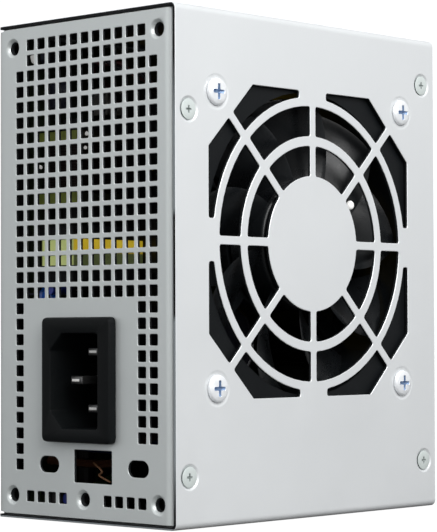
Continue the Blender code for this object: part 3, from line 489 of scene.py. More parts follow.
floor_bm = bmesh.new()
bmesh.ops.create_grid(floor_bm, x_segments=1, y_segments=1, size=4.0)
floor_mesh = bpy.data.meshes.new("floor")
floor_bm.to_mesh(floor_mesh)
floor_bm.free()
floor_paint = bpy.data.materials.new("floor_paint")
floor_paint.use_nodes = True
floor_shader = floor_paint.node_tree.nodes["Principled BSDF"]
floor_shader.inputs["Base Color"].default_value = (0.10, 0.10, 0.10, 1.0)
floor_shader.inputs["Roughness"].default_value = 0.9
floor_shader.inputs["Emission Color"].default_value = (1.0, 1.0, 1.0, 1.0)
by_sight(floor_paint.node_tree, 0.0, 1.0, floor_shader.inputs["Emission Strength"])
floor_mesh.materials.append(floor_paint)
floor = placed("floor", floor_mesh)
floor.location = (0, 0, -0.0002)
floor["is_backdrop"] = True

# %% Light
def area_light(name, place, aim, size, power, colour=(1.0, 1.0, 1.0)):
    """A square soft light that points at a place."""
    data = bpy.data.lights.new(name, "AREA")
    data.size = size
    data.energy = power
    data.color = colour
    light = placed(name, data)
    light.location = place
    light.rotation_euler = (Vector(aim) - Vector(place)).to_track_quat("-Z", "Y").to_euler()


SKY_LIGHT, SKY_SEEN = 0.55, 1.1
centre = (0, 0, HEIGHT * MM / 2)
area_light("key", (0.56, -0.20, 0.42), centre, 0.5, 5.15)
area_light("fill", (-0.35, -1.0, 0.5), centre, 0.9, 1.25, (0.95, 0.98, 1.0))
world = bpy.data.worlds.new("white_room")
bpy.context.scene.world = world
world.use_nodes = True
walls = world.node_tree.nodes["Background"]
walls.inputs["Color"].default_value = (0.97, 0.985, 1.0, 1.0)
by_sight(world.node_tree, SKY_LIGHT, SKY_SEEN, walls.inputs["Strength"])
bpy.context.scene.view_settings.view_transform = "Standard"
print("camera, floor and lights are in place")

# %% [markdown]
# ## Drawing in the flat
# A sheet-metal part is made the way the shop makes it: punched flat, then folded. In the flat, x runs
# along the strip, y across it, and z is the depth into the sheet. An outline is a closed ring of points.
# A few helpers make outlines, round their corners and move them in or out.

# %% Outlines
def arc(centre_at, radius, start, end, steps):
    """Points of a round stretch, with its ends. Angles are in radians."""
    angles = [start + (end - start) * step / steps for step in range(steps + 1)]
    return [Vector((centre_at[0] + radius * math.cos(a), centre_at[1] + radius * math.sin(a)))
            for a in angles]


def rectangle(low, high):
    return [Vector((low[0], low[1])), Vector((high[0], low[1])), Vector((high[0], high[1])),
            Vector((low[0], high[1]))]


def about(at, size):
    """A rectangle of a size about its middle."""
    half = Vector(size) / 2
    return rectangle(Vector(at) - half, Vector(at) + half)


SHARP_CORNER = math.radians(30)


def threes(points):
    """Each point of a closed outline, between the ones before and after it."""
    return zip(points[-1:] + points[:-1], points, points[1:] + points[:1])


def round_corners(points, radius, steps=3):
    """Rounds each corner of an outline that turns by more than the sharp angle."""
    rounded = []
    for before, corner, after in threes(points):
        inward, outward = corner - before, after - corner
        turn = inward.angle(outward)
        if turn < SHARP_CORNER:
            rounded.append(corner)
            continue
        cut = min(radius * math.tan(turn / 2), 0.48 * inward.length, 0.48 * outward.length)
        start = corner - inward.normalized() * cut
        end = corner + outward.normalized() * cut
        for step in range(steps + 1):
            share = step / steps
            rounded.append(start.lerp(corner, share).lerp(corner.lerp(end, share), share))
    return rounded


def outward(points, distance):
    """Moves an outline that runs anticlockwise outwards by a distance, with mitred corners."""
    moved = []
    for before, corner, after in threes(points):
        first, second = (corner - before).normalized(), (after - corner).normalized()
        normal_1, normal_2 = Vector((first.y, -first.x)), Vector((second.y, -second.x))
        mitre = (normal_1 + normal_2) / (1 + normal_1.dot(normal_2))
        moved.append(corner + mitre * distance)
    return moved


def anticlockwise(points):
    area = sum(a.cross(b) for a, b in zip(points, points[1:] + points[:1]))
    return points if area > 0 else points[::-1]


# %% Rings, skins and fills
def ring(bm, points, depth):
    """A closed ring of edges at a depth."""
    verts = [bm.verts.new((p[0], p[1], depth)) for p in points]
    return [bm.edges.new(pair) for pair in zip(verts, verts[1:] + verts[:1])]


def skin(bm, rings):
    """Joins each ring to the next."""
    for first, second in zip(rings, rings[1:]):
        bmesh.ops.bridge_loops(bm, edges=first + second)


def fill(bm, rings):
    """Fills the flat between rings: the outer one, and any holes in it."""
    edges = [edge for loop in rings for edge in loop]
    bmesh.ops.triangle_fill(bm, use_beauty=True, use_dissolve=False, edges=edges)


def spin(bm, points, centre_at, axis, steps, closed=False):
    """Spins a line of points once round an axis. A closed line is joined end to end."""
    verts = [bm.verts.new(p) for p in points]
    ahead = verts[1:] + verts[:1] if closed else verts[1:]
    edges = [bm.edges.new(pair) for pair in zip(verts, ahead)]
    bmesh.ops.spin(bm, geom=verts + edges, cent=centre_at, axis=axis, angle=math.tau, steps=steps,
                   use_merge=True, use_duplicate=False)


def spun(bm, profile, centre_at, steps):
    """Spins a profile of (radius, depth) about z and gives the rings at its two ends."""
    points = [(centre_at[0] + radius, centre_at[1], depth) for radius, depth in profile]
    spin(bm, points, (*centre_at, 0), (0, 0, 1), steps)
    ends = []
    for radius, depth in (profile[0], profile[-1]):
        ends.append([e for e in bm.edges if e.is_boundary and all(
            abs(v.co.z - depth) < 0.001
            and abs(math.hypot(v.co.x - centre_at[0], v.co.y - centre_at[1]) - radius) < 0.001
            for v in e.verts)])
    return ends


# %% [markdown]
# A fold plan says where each run of the strip and each bend goes. The punched sheet is cut across at
# each step of a bend, with one more line just outside it, which keeps the flat faces flat in shading.

# %% Folding
BEND_STEPS = 8
HOLD = 0.3


def fold_plan(path, radius):
    """The runs and bends of a strip: (kind, start in the flat, length, place, direction)."""
    plan, reached = [], 0.0
    points = [Vector(p) for p in path]
    for number, (a, b) in enumerate(zip(points, points[1:])):
        along = (b - a).normalized()
        begin = a + along * (radius if number else 0)
        last = number == len(points) - 2
        end = b - along * (0 if last else radius)
        plan.append(("run", reached, (end - begin).length, begin, along))
        reached += (end - begin).length
        if not last:
            plan.append(("bend", reached, radius * math.pi / 2, end, along))
            reached += radius * math.pi / 2
    return plan


def fold_point(plan, radius, flat, depth):
    """Where a point of the flat sheet goes. The strip runs clockwise, so its inside is on its right."""
    kind, start, length, place, along = next(
        (part for part in reversed(plan) if flat >= part[1] - 1e-5), plan[0])
    inside = Vector((along.y, -along.x))
    if kind == "run":
        return place + along * (flat - start) + inside * depth
    angle = (flat - start) / radius
    centre_at = place + inside * radius
    normal = inside * math.cos(angle) - along * math.sin(angle)
    return centre_at - normal * (radius - depth)


def fold(bm, plan, radius, upright):
    """Cuts the sheet at each bend's steps, then bends it. The strip's width runs along Z or Y."""
    for kind, start, length, *_ in plan:
        if kind == "bend":
            cuts = [start - HOLD, start + length + HOLD]
            cuts += [start + length * step / BEND_STEPS for step in range(BEND_STEPS + 1)]
            for cut in cuts:
                bmesh.ops.bisect_plane(bm, geom=bm.verts[:] + bm.edges[:] + bm.faces[:], dist=0.0001,
                                       plane_co=(cut, 0, 0), plane_no=(1, 0, 0))
    for vert in bm.verts:
        a, b = fold_point(plan, radius, vert.co.x, vert.co.z)
        vert.co = (a, b, vert.co.y) if upright == "Z" else (a, vert.co.y, b)


# %% A punched sheet
def punched_sheet(outline, holes, wells):
    """A flat sheet with rounded punch edges: holes are outlines, wells are spun profiles."""
    bm = bmesh.new()
    fronts, backs = [], []
    for number, points in enumerate([outline] + holes):
        points = anticlockwise(points)
        side = -LIP if number == 0 else LIP
        front = ring(bm, outward(points, side), 0)
        lip = ring(bm, points, LIP)
        back = ring(bm, points, SHEET)
        skin(bm, [front, lip, back])
        fronts.append(front)
        backs.append(back)
    for profile, centre_at, steps in wells:
        front, back = spun(bm, profile, centre_at, steps)
        fronts.append(front)
        backs.append(back)
    fill(bm, fronts)
    fill(bm, backs)
    bm.normal_update()
    # Hole walls and deep well faces take the second finish, painted shade; the back of the sheet takes the
    # third, a lighter painted shade.
    for face in bm.faces:
        depth = face.calc_center_median().z
        painted_shade_face = abs(face.normal.z) < 0.1 or depth > SHEET + 0.05
        face.material_index = 1 if painted_shade_face else 2 if depth > SHEET - 0.01 else 0
    return bm


# %% Finishing a piece
def settle(name, data, body):
    """Puts a mesh or a curve in the scene as a piece that rides on a body."""
    piece = placed(name, data)
    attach(piece, body)
    return piece


def make_piece(name, bm, body, materials, stands_for=(), sharp=30, flat_sheet=False):
    """Makes a bmesh in millimetres into a finished piece that rides on a body.

    On a flat sheet the big faces set the shading, so that a small dimple doesn't dent it all round."""
    bmesh.ops.remove_doubles(bm, verts=bm.verts, dist=0.0005)
    bmesh.ops.recalc_face_normals(bm, faces=bm.faces)
    bmesh.ops.scale(bm, vec=(MM, MM, MM), verts=bm.verts)
    mesh = bpy.data.meshes.new(name)
    bm.to_mesh(mesh)
    open_edges = sum(1 for edge in bm.edges if not edge.is_manifold)
    bm.free()
    mesh.shade_smooth()
    mesh.set_sharp_from_angle(angle=math.radians(sharp))
    for material in materials:
        mesh.materials.append(material)
    piece = settle(name, mesh, body)
    if flat_sheet:
        piece.modifiers.new("flat_faces_first", "WEIGHTED_NORMAL").keep_sharp = True
    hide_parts(*stands_for)
    print(f"{name}: {len(mesh.polygons)} faces, {open_edges} open edges")


# %% [markdown]
# ## The base shell
# One sheet makes the flange, the mains-inlet panel, the base plate, the cable panel and the second
# flange. The inlet panel has a punched grid of square vents, the window for the socket, two slots, a
# cut-out for a voltage selector and five mounting holes. Each mounting hole is pushed inwards into a
# small well, which gives its thread more metal.

# %% Base shell
base_path = [(FLANGE_X, -HALF_Y + FLANGE), (FLANGE_X, -HALF_Y), (-HALF_X, -HALF_Y), (-HALF_X, HALF_Y),
             (FLANGE_X, HALF_Y), (FLANGE_X, HALF_Y - FLANGE)]
base_plan = fold_plan(base_path, BASE_BEND)
inlet_run, plate_run, cable_run = base_plan[2], base_plan[4], base_plan[6]
base_end = base_plan[-1][1] + base_plan[-1][2]


def on_inlet_panel(x):
    """Where X on the inlet panel is in the flat."""
    return inlet_run[1] + inlet_run[3].x - x


def on_plate(y):
    return plate_run[1] + y - plate_run[3].y


def on_cable_panel(x):
    return cable_run[1] + x - cable_run[3].x


def on_flange(y):
    """Where Y on either flange is in the flat."""
    return -HALF_Y + FLANGE - y if y < 0 else base_end - (y - (HALF_Y - FLANGE))


def base_outline():
    """The panels stop below the cover's sides, and a notch relieves the ends of each bend."""
    first, last = inlet_run[1] + inlet_run[2], cable_run[1]
    edge, ramp = HEIGHT - TRIM, BASE_BEND * RAMP
    top = [(base_end, edge), (last + NOTCH, edge), (last, edge - NOTCH), (last - ramp, edge - NOTCH),
           (plate_run[1] + plate_run[2] - PLATE_INSET, HEIGHT - LIP),
           (plate_run[1] + PLATE_INSET, HEIGHT - LIP),
           (first + ramp, edge - NOTCH), (first, edge - NOTCH), (first - NOTCH, edge), (0, edge)]
    foot = [(u, max(HEIGHT - v, LIP)) for u, v in reversed(top)]
    return [Vector(p) for p in foot + top]


def vent_holes():
    """The vents that are punched, as centres in X and Z."""
    every, inner = range(13), range(1, 12)
    rows = [inner] * 2 + [every] * 15 + [(0, 11, 12)] * 9 + [(0,)] * 2 + [()] + [(1, 2, 3, 4, 8, 9, 10, 11)]
    return [(VENT_FIRST[0] + column * VENT_STEP_X, VENT_FIRST[1] - row * VENT_STEP_Z)
            for row, columns in enumerate(rows) for column in columns]


def inlet_panel_holes():
    half = VENT_SIDE / 2
    shapes = [round_corners(rectangle((x - half, z - half), (x + half, z + half)), VENT_CORNER, 2)
              for x, z in vent_holes()]
    low, high = SWITCH_CUTOUT
    shapes.append(round_corners(rectangle(low, high), CUTOUT_CORNER, 2))
    reach = (SLOT_LENGTH - SLOT_WIDTH) / 2
    for x, z in SLOT_CENTRES:
        shapes.append(arc((x + reach, z), SLOT_WIDTH / 2, -math.pi / 2, math.pi / 2, 12)
                      + arc((x - reach, z), SLOT_WIDTH / 2, math.pi / 2, 3 * math.pi / 2, 12))
    socket, (half_x, half_z) = middle("inlet_housing"), SOCKET_HALF
    shapes.append(rectangle((socket.x - half_x, socket.z - half_z), (socket.x + half_x, socket.z + half_z)))
    return [[Vector((on_inlet_panel(p[0]), p[1])) for p in shape] for shape in shapes]


def plain_hole(radius):
    return [(radius + LIP, 0), (radius, LIP), (radius, SHEET)]


def base_wells():
    tapped = [(2.55, 0), (2.42, 0.03), (2.22, 0.14), (2.00, 0.38), (1.84, 0.62), (1.70, 0.82), (1.65, 1.00),
              (1.45, 1.15), (1.65, 1.30), (1.45, 1.45), (1.65, 1.60), (1.45, 1.75), (1.65, 1.90), (1.65, 2.0),
              (2.30, 2.0), (2.38, 1.5), (2.55, 1.05), (3.00, SHEET)]
    wells = [(tapped, (on_inlet_panel(x), z), 32) for x, z in MOUNT_HOLES]
    for number in range(1, 5):
        spacer, fixing = middle(f"board_spacer_{number}"), middle(f"cover_screw_{number}")
        wells.append((plain_hole(SPACER_HOLE), (on_plate(spacer.y), spacer.z), 32))
        wells.append((plain_hole(FLANGE_HOLE), (on_flange(fixing.y), fixing.z), 24))
    outlet = middle("cable_grommet")
    wells.append((plain_hole(OUTLET_RADIUS), (on_cable_panel(outlet.x), outlet.z), 64))
    return wells


base_bm = punched_sheet(base_outline(), inlet_panel_holes(), base_wells())
fold(base_bm, base_plan, BASE_BEND, "Z")
make_piece("base_sheet", base_bm, "case", [BASE_STEEL, PUNCH_WALL_SHADE, INSIDE_SHADE],
           ["base_shell"], flat_sheet=True)

# %% [markdown]
# ## The cover shell
# The second sheet makes the fan face and the two long sides. Its grille is two rings of windows between
# eight spokes, and eight corner windows that make the outline an octagon. The fan's screws sit in
# shallow wells, and the cover's screws in countersunk ones.

# %% Cover shell
cover_path = [(COVER_EDGE, HEIGHT), (HALF_X, HEIGHT), (HALF_X, 0), (COVER_EDGE, 0)]
cover_plan = fold_plan(cover_path, COVER_BEND)
face_run = cover_plan[2]
cover_end = cover_plan[-1][1] + cover_plan[-1][2]


def on_fan_face(z):
    """Where Z on the fan face is in the flat."""
    return face_run[1] + face_run[3].y - z


def ring_window(inner, outer, middle_angle):
    """A window between two rings and two spokes that are 45 degrees apart, about the fan's centre."""
    def stretch(radius, sign):
        half = math.pi / 8 - math.asin(SPOKE_WIDTH / 2 / radius)
        return arc((0, 0), radius, middle_angle - sign * half, middle_angle + sign * half,
                   WINDOW_STEPS)

    return stretch(inner, 1) + stretch(outer, -1)


def corner_window(quarter, side):
    """A window between the outer ring, the octagon, a land on the axis and a diagonal spoke."""
    start = math.asin(GRILLE_LAND / GRILLE_OUTER)
    end = math.pi / 4 - math.asin(SPOKE_WIDTH / 2 / GRILLE_OUTER)
    diagonal, across = Vector((1, 1)).normalized(), Vector((1, -1)).normalized()
    reach = (GRILLE_HALF + GRILLE_FLAT) / math.sqrt(2)
    points = arc((0, 0), GRILLE_OUTER, start, end, WINDOW_STEPS)
    points += [diagonal * reach + across * SPOKE_WIDTH / 2, Vector((GRILLE_HALF, GRILLE_FLAT)),
               Vector((GRILLE_HALF, GRILLE_LAND))]
    turn = Matrix.Rotation(quarter * math.pi / 2, 2)
    return [turn @ Vector((p.x, p.y * side)) for p in points]


def cover_holes():
    windows = [ring_window(inner, outer, (step + 0.5) * math.pi / 4)
               for step in range(8) for inner, outer in GRILLE_RINGS]
    windows += [corner_window(quarter, side) for quarter in range(4) for side in (1, -1)]
    return [[Vector((on_fan_face(FAN_Z + p.y), p.x)) for p in round_corners(window, WINDOW_CORNER, 4)]
            for window in windows]


def cover_wells():
    seat = [(4.6, 0), (4.4, 0.02), (4.1, 0.10), (3.85, 0.16), (2.45, 0.16), (2.3, 0.28), (2.3, 0.96),
            (3.9, 0.96), (4.6, SHEET)]
    sink = [(3.30, 0), (3.15, 0.06), (2.70, 0.32), (1.90, 0.88), (1.75, 1.02), (1.75, 1.05), (2.3, 1.05),
            (3.20, SHEET)]
    wells = []
    for number in range(1, 5):
        place = middle(f"fan_screw_{number}")
        wells.append((seat, (on_fan_face(place.z), place.y), 40))
        place = middle(f"cover_screw_{number}")
        wells.append((sink, (on_fan_face(place.z), place.y), 40))
    return wells


outline = rectangle((LIP, -HALF_Y), (cover_end, HALF_Y))
cover_bm = punched_sheet(outline, cover_holes(), cover_wells())
fold(cover_bm, cover_plan, COVER_BEND, "Y")
# The cover's front cut edge takes the painted shade of the gap behind it.
for face in cover_bm.faces:
    if all(vert.co.y < -HALF_Y + 0.01 for vert in face.verts):
        face.material_index = 3
make_piece("cover_sheet", cover_bm, "case", [COVER_STEEL, PUNCH_WALL_SHADE, INSIDE_SHADE, CUT_EDGE_GAP_SHADE],
           ["cover_shell"], flat_sheet=True)

# %% [markdown]
# ## The screws
# The fan hangs on four domed screws and the cover on four countersunk ones, all with a cross recess. A
# head is a spun profile. Its top is filled between the profile's ring and a cross, and the cross is
# drawn down and in to a smaller cross, which makes the recess with its sloping walls.

# %% Screws
def cross(reach, half_width):
    """The outline of a cross recess, with rounded corners."""
    arm = [Vector((reach, -half_width)), Vector((reach, half_width)), Vector((half_width, half_width))]
    points = [Matrix.Rotation(quarter * math.pi / 2, 2) @ p for quarter in range(4) for p in arm]
    return round_corners(points, half_width * 0.45, 2)


def onto_fan_face(bm, place):
    """Turns a piece drawn with z outwards so that z points out of the fan face, and moves it there."""
    turn = Matrix(((0, 0, 1, place[0]), (1, 0, 0, place[1]), (0, 1, 0, place[2]), (0, 0, 0, 1)))
    bmesh.ops.transform(bm, matrix=turn, verts=bm.verts)


def screw(name, place, profile, recess, materials):
    """A screw from its profile, top ring first, and its recess as (reach, half width, depth)."""
    bm = bmesh.new()
    rim, tip = spun(bm, profile, (0, 0), 40)
    reach, half_width, depth = recess
    top = profile[0][1]
    crown = top * 1.1 if top > 0.1 else top
    mouth = ring(bm, cross(reach, half_width), crown)
    wall = ring(bm, cross(reach * 0.94, half_width * 0.86), crown - 0.12)
    floor_ring = ring(bm, cross(reach * 0.45, half_width * 0.5), crown - depth)
    fill(bm, [rim, mouth])
    skin(bm, [mouth, wall, floor_ring])
    fill(bm, [floor_ring])
    fill(bm, [tip])
    # Faces inside the recess take the second finish, the recess's painted shade.
    for face in bm.faces:
        deep = face.calc_center_median()
        inside = math.hypot(deep.x, deep.y) < reach and crown - depth - 0.01 < deep.z < top - 0.02
        face.material_index = 1 if inside else 0
    onto_fan_face(bm, place)
    make_piece(name + "_head", bm, "case", materials, [name], sharp=40)


pan_head = [(2.15, 0.84), (2.75, 0.77), (3.06, 0.60), (3.27, 0.34), (3.38, 0.06), (3.36, -0.02), (1.9, -0.04),
            (1.9, -8.6), (1.3, -9.5)]
sunk_head = [(2.40, -0.02), (2.49, -0.05), (2.50, -0.10), (1.45, -1.15), (1.45, -5.0), (0.95, -5.6)]
FAN_SCREW_LIFT = 0.05
FAN_RECESS, COVER_RECESS = (2.05, 0.48, 0.9), (0.95, 0.27, 0.8)
for number in range(1, 5):
    for name, front, profile, recess, materials in (
            (f"fan_screw_{number}", HALF_X + FAN_SCREW_LIFT, pan_head, FAN_RECESS, [SCREW_ZINC, FAN_CROSS_SHADE]),
            (f"cover_screw_{number}", HALF_X, sunk_head, COVER_RECESS, [COVER_SCREW, COVER_CROSS_SHADE])):
        screw(name, (front, *middle(name).yz), profile, recess, materials)

# %% [markdown]
# ## The mains inlet
# The socket is one moulding: a bezel with a rounded edge outside the panel, a box behind it and a deep
# cavity with two slanted corners, which is how a mains lead can only go in one way round. It is drawn
# as rings from the front to the back, and its floor is filled round the three slots for the pins.

# %% Inlet housing
inlet_low, inlet_high = corners("inlet_housing")
INLET_X, INLET_Z = (inlet_low.x + inlet_high.x) / 2, (inlet_low.z + inlet_high.z) / 2
BEZEL, BODY = (24.5, 30.8), (21.4, 26.8)
BEZEL_DEPTH, BEZEL_PROUD, CAVITY_DEPTH = 2.2, 2.5, 16.0
CAVITY = ((-9.3, 23.2), (7.4, 46.5))
CAVITY_CHAMFER = 4.2
PINS = ("line", "neutral", "earth")
inlet_depth = inlet_high.y - inlet_low.y


def stand_in_panel(bm, front):
    """Moves a piece drawn by X, Z and depth so that it stands in the inlet panel."""
    for vert in bm.verts:
        x, z, depth = vert.co
        vert.co = (x, front + depth, z)


def bordered(points, rings):
    """An outline moved out by each first value, at the depth of each second one."""
    return [(outward(points, move), depth) for move, depth in rings]


socket_bm = bmesh.new()
bezel = round_corners(about((INLET_X, INLET_Z), BEZEL), 1.6, 5)
body = round_corners(about((INLET_X, INLET_Z), BODY), 1.0, 5)
outside = bordered(bezel, [(-0.9, 0), (-0.45, 0.12), (-0.12, 0.45), (0, 0.9), (0, BEZEL_DEPTH)])
outside += [(body, BEZEL_DEPTH), (body, inlet_depth)]
(x0, z0), (x1, z1) = CAVITY
slant = CAVITY_CHAMFER
mouth = round_corners([Vector(p) for p in ((x0 + slant, z0), (x1, z0), (x1, z1), (x0 + slant, z1),
                                           (x0, z1 - slant), (x0, z0 + slant))], 0.9, 4)
inside = bordered(mouth, [(0.45, 0), (0.15, 0.12), (0, 0.45), (0, CAVITY_DEPTH)])
outside_rings = [ring(socket_bm, points, depth) for points, depth in outside]
inside_rings = [ring(socket_bm, points, depth) for points, depth in inside]
skin(socket_bm, outside_rings)
skin(socket_bm, inside_rings)
slot_floors, slot_backs = [], []
for pin in PINS:
    low, high = corners(f"inlet_pin_{pin}")
    slot = outward(rectangle((low.x, low.z), (high.x, high.z)), GAP)
    slot_floors.append(ring(socket_bm, slot, CAVITY_DEPTH))
    slot_backs.append(ring(socket_bm, slot, inlet_depth))
    skin(socket_bm, [slot_floors[-1], slot_backs[-1]])
fill(socket_bm, [outside_rings[0], inside_rings[0]])
fill(socket_bm, [inside_rings[-1]] + slot_floors)
fill(socket_bm, [outside_rings[-1]] + slot_backs)
stand_in_panel(socket_bm, inlet_low.y)
make_piece("inlet_socket", socket_bm, "case", [SOCKET_BLACK], ["inlet_housing"])

# %% [markdown]
# The housing snaps into the panel with a wedge above and below. The pins are flat bars with rounded
# noses: each starts as a cube, gets its size, and is bevelled.

# %% Snaps and pins
def cube(bm, low, high):
    """A box between two corners."""
    size = Vector(high) - Vector(low)
    place = Matrix.Translation((Vector(low) + Vector(high)) / 2) @ Matrix.Diagonal((*size, 1.0))
    return bmesh.ops.create_cube(bm, size=1.0, matrix=place)["verts"]


SNAP_HALF, SNAP_LENGTH, SNAP_RISE = 4, 5.4, 1.1
snap_bm = bmesh.new()
for side in (-1, 1):
    root = INLET_Z + side * BODY[1] / 2
    peak = root + side * SNAP_RISE
    near = inlet_low.y + BEZEL_PROUD + SHEET + GAP
    wedge = cube(snap_bm, (INLET_X - SNAP_HALF, near, min(root, peak)),
                 (INLET_X + SNAP_HALF, near + SNAP_LENGTH, max(root, peak)))
    for vert in wedge:
        if vert.co.y > near + 1 and (vert.co.z - root) * side > 0.5:
            vert.co.z = root + side * 0.1
make_piece("inlet_snaps", snap_bm, "case", [SOCKET_BLACK])


def bevel(bm, edges, offset, segments):
    bmesh.ops.bevel(bm, geom=edges, offset=offset, offset_type="OFFSET", segments=segments, profile=0.5,
                    affect="EDGES", material=-1)


PIN_NOSE, PIN_EDGE = 0.7, 0.2
for pin in PINS:
    low, high = corners(f"inlet_pin_{pin}")
    pin_bm = bmesh.new()
    cube(pin_bm, low, high)
    bevel(pin_bm, [e for e in pin_bm.edges if all(abs(v.co.y - low.y) < 0.01 for v in e.verts)],
          PIN_NOSE, 4)
    bevel(pin_bm, [e for e in pin_bm.edges if e.calc_length() > 10], PIN_EDGE, 2)
    # The nose keeps the bright nickel and the rest of the pin takes the shank's painted shade.
    for face in pin_bm.faces:
        face.material_index = 0 if face.calc_center_median().y < low.y + 0.02 else 1
    make_piece(f"pin_{pin}", pin_bm, "case", [PIN_NICKEL, PIN_SHANK_SHADE], [f"inlet_pin_{pin}"],
               sharp=50)

# %% [markdown]
# ## The fan's rotor
# The hub is a cup, spun from its profile. A blade starts as a grid, and each of its points is moved to
# where the blade is: the chord shrinks and sweeps forward from root to tip, and leans from the front of
# the hub to its back. Solidify gives it its thickness. The rotor rides on its own body, so it spins.

# %% Rotor
HUB_RADIUS, HUB_WALL, HUB_FLOOR, HUB_ROUND = 16.8, 1.5, 1.3, 1.2
BLADE_TIP, BLADE_COUNT, BLADE_SUNK, BLADE_THICK = 37.0, 9, 0.8, 0.9
HUB_FRONT, HUB_BACK = corners("fan_rotor")[1].x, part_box("fan_magnet_ring")[0].x / MM - 0.2


def blade(bm, turn):
    """One blade, as a thick curved sheet."""
    start = bmesh.ops.create_grid(bm, x_segments=14, y_segments=12, size=0.5)["verts"]
    for vert in start:
        u, v = vert.co.x + 0.5, vert.co.y + 0.5
        radius = HUB_RADIUS - BLADE_SUNK + (BLADE_TIP - HUB_RADIUS + BLADE_SUNK) * u
        chord = math.radians(33 - 3 * u) * (1 - 0.10 * u ** 6)
        angle = turn + math.radians(16) * u ** 1.4 + (v - 0.5) * chord
        front, back = HUB_FRONT - 1.0, HUB_BACK + 0.8 + 1.6 * u
        x = back + (front - back) * (1 - v) + 1.1 * math.sin(math.pi * v)
        vert.co = (x, radius * math.cos(angle), FAN_Z + radius * math.sin(angle))
    faces = list({face for vert in start for face in vert.link_faces})
    bmesh.ops.solidify(bm, geom=faces, thickness=BLADE_THICK)


rotor_bm = bmesh.new()
edge_round = arc((HUB_RADIUS - HUB_ROUND, HUB_FRONT - HUB_ROUND), HUB_ROUND, math.pi / 2, 0, 6)
cup = [(0, HUB_FRONT)] + [(p.x, p.y) for p in edge_round] + [
    (HUB_RADIUS, HUB_BACK), (HUB_RADIUS - HUB_WALL, HUB_BACK),
    (HUB_RADIUS - HUB_WALL, HUB_FRONT - HUB_FLOOR), (0, HUB_FRONT - HUB_FLOOR)]
spin(rotor_bm, [(height, radius, FAN_Z) for radius, height in cup], (0, 0, FAN_Z), (1, 0, 0), 72)
for number in range(BLADE_COUNT):
    blade(rotor_bm, number * math.tau / BLADE_COUNT)
make_piece("fan_blades", rotor_bm, "rotor", [FAN_BLACK], ["fan_rotor"], sharp=40)

# %% [markdown]
# ## The cable grommet and the silicone
# The cable panel's hole is lined with a grooved rubber ring, spun from its profile. Small beads of white
# silicone lie by the filter choke and the edge of the board. A bead is a small sphere, stretched and
# made uneven with smooth noise.

# %% Grommet
outlet = middle("cable_grommet")
grommet_bm = bmesh.new()
bore, groove, lip, curl = 8.4, 9.7, 11.6, 0.7
inner_lip, chamfer = 1.4, 0.4
out_face, in_face = HALF_Y + GAP, HALF_Y - SHEET - GAP
round_lip = arc((lip - curl, out_face + curl), curl, 0, math.pi / 2, 5)
round_inner = arc((bore + curl, out_face + curl), curl, math.pi / 2, math.pi, 5)
section = [(lip, out_face)] + [(p.x, p.y) for p in round_lip + round_inner] + [
    (bore, in_face - inner_lip), (lip - chamfer, in_face - inner_lip),
    (lip, in_face - inner_lip + chamfer), (lip, in_face), (groove, in_face), (groove, out_face)]
spin(grommet_bm, [(outlet.x + radius, height, outlet.z) for radius, height in section],
     (outlet.x, 0, outlet.z), (0, 1, 0), 72, closed=True)
make_piece("outlet_grommet", grommet_bm, "case", [RUBBER], ["cable_grommet"])

# %% Silicone beads
BEADS = (((-23.6, -44.7, 116.6), (0.9, 0.9, 1.2)), ((-23.3, -42.8, 89.0), (0.45, 0.5, 0.5)),
         ((-23.4, -42.8, 86.7), (0.4, 0.5, 0.5)), ((-8.9, -40.2, 96.9), (0.28, 0.6, 0.5)),
         ((-9.0, -40.5, 93.3), (0.20, 0.5, 0.3)))
LUMP_HEIGHT, LUMP_PITCH = 0.35, 0.9


def blob(bm, place, size):
    """A small sphere stretched to a size. Gives its points."""
    shape = Matrix.Translation(place) @ Matrix.Diagonal((*size, 1.0))
    return bmesh.ops.create_icosphere(bm, subdivisions=3, radius=1.0, matrix=shape)["verts"]


bead_bm = bmesh.new()
for place, size in BEADS:
    for vert in blob(bead_bm, place, size):
        away = (vert.co - Vector(place)).normalized()
        vert.co += away * LUMP_HEIGHT * surface_noise.noise(vert.co * LUMP_PITCH)
make_piece("silicone_beads", bead_bm, "case", [SILICONE_GLOWING], sharp=80)

# %% [markdown]
# ## The fan's wires
# The fan's lead is two thin wires, red and black, twisted round each other along the route that the
# frame's plain tube takes. The bare end of a choke's winding shows in the open cut-out. A dab of
# white putty on a blade balances the rotor.

# %% Twisted wires
TWIST_STEP = 0.45


def along(points, spacing):
    """Points on a Catmull-Rom curve through a route's own points, in millimetres."""
    points = [Vector(p) for p in points]
    padded = [2 * points[0] - points[1], *points, 2 * points[-1] - points[-2]]
    route = []
    for a, b, c, d in zip(padded, padded[1:], padded[2:], padded[3:]):
        count = max(2, round((c - b).length / spacing))
        for step in range(count):
            t = step / count
            route.append(0.5 * ((2 * b) + (c - a) * t + (2 * a - 5 * b + 4 * c - d) * t ** 2
                                + (3 * b - a - 3 * c + d) * t ** 3))
    return route + [points[-1]]


def strand(name, route, phase, material, radius=0.55, apart=0.6):
    """One wire of a twisted pair, as a round curve that circles the route; a single one if apart is 0."""
    curve = bpy.data.curves.new(name, "CURVE")
    curve.dimensions = "3D"
    curve.bevel_depth = radius * MM
    curve.bevel_resolution = 3
    curve.use_fill_caps = True
    spline = curve.splines.new("POLY")
    spline.points.add(len(route) - 1)
    for number, (point, place) in enumerate(zip(spline.points, route)):
        heading = (route[min(number + 1, len(route) - 1)] - route[max(number - 1, 0)]).normalized()
        side = heading.cross(Vector((0.3, 1, 0.2))).normalized()
        angle = phase + number * TWIST_STEP
        round_route = side * math.cos(angle) + heading.cross(side) * math.sin(angle)
        point.co = (*((place + round_route * apart) * MM), 1.0)
    curve.materials.append(material)
    return settle(name, curve, "case")


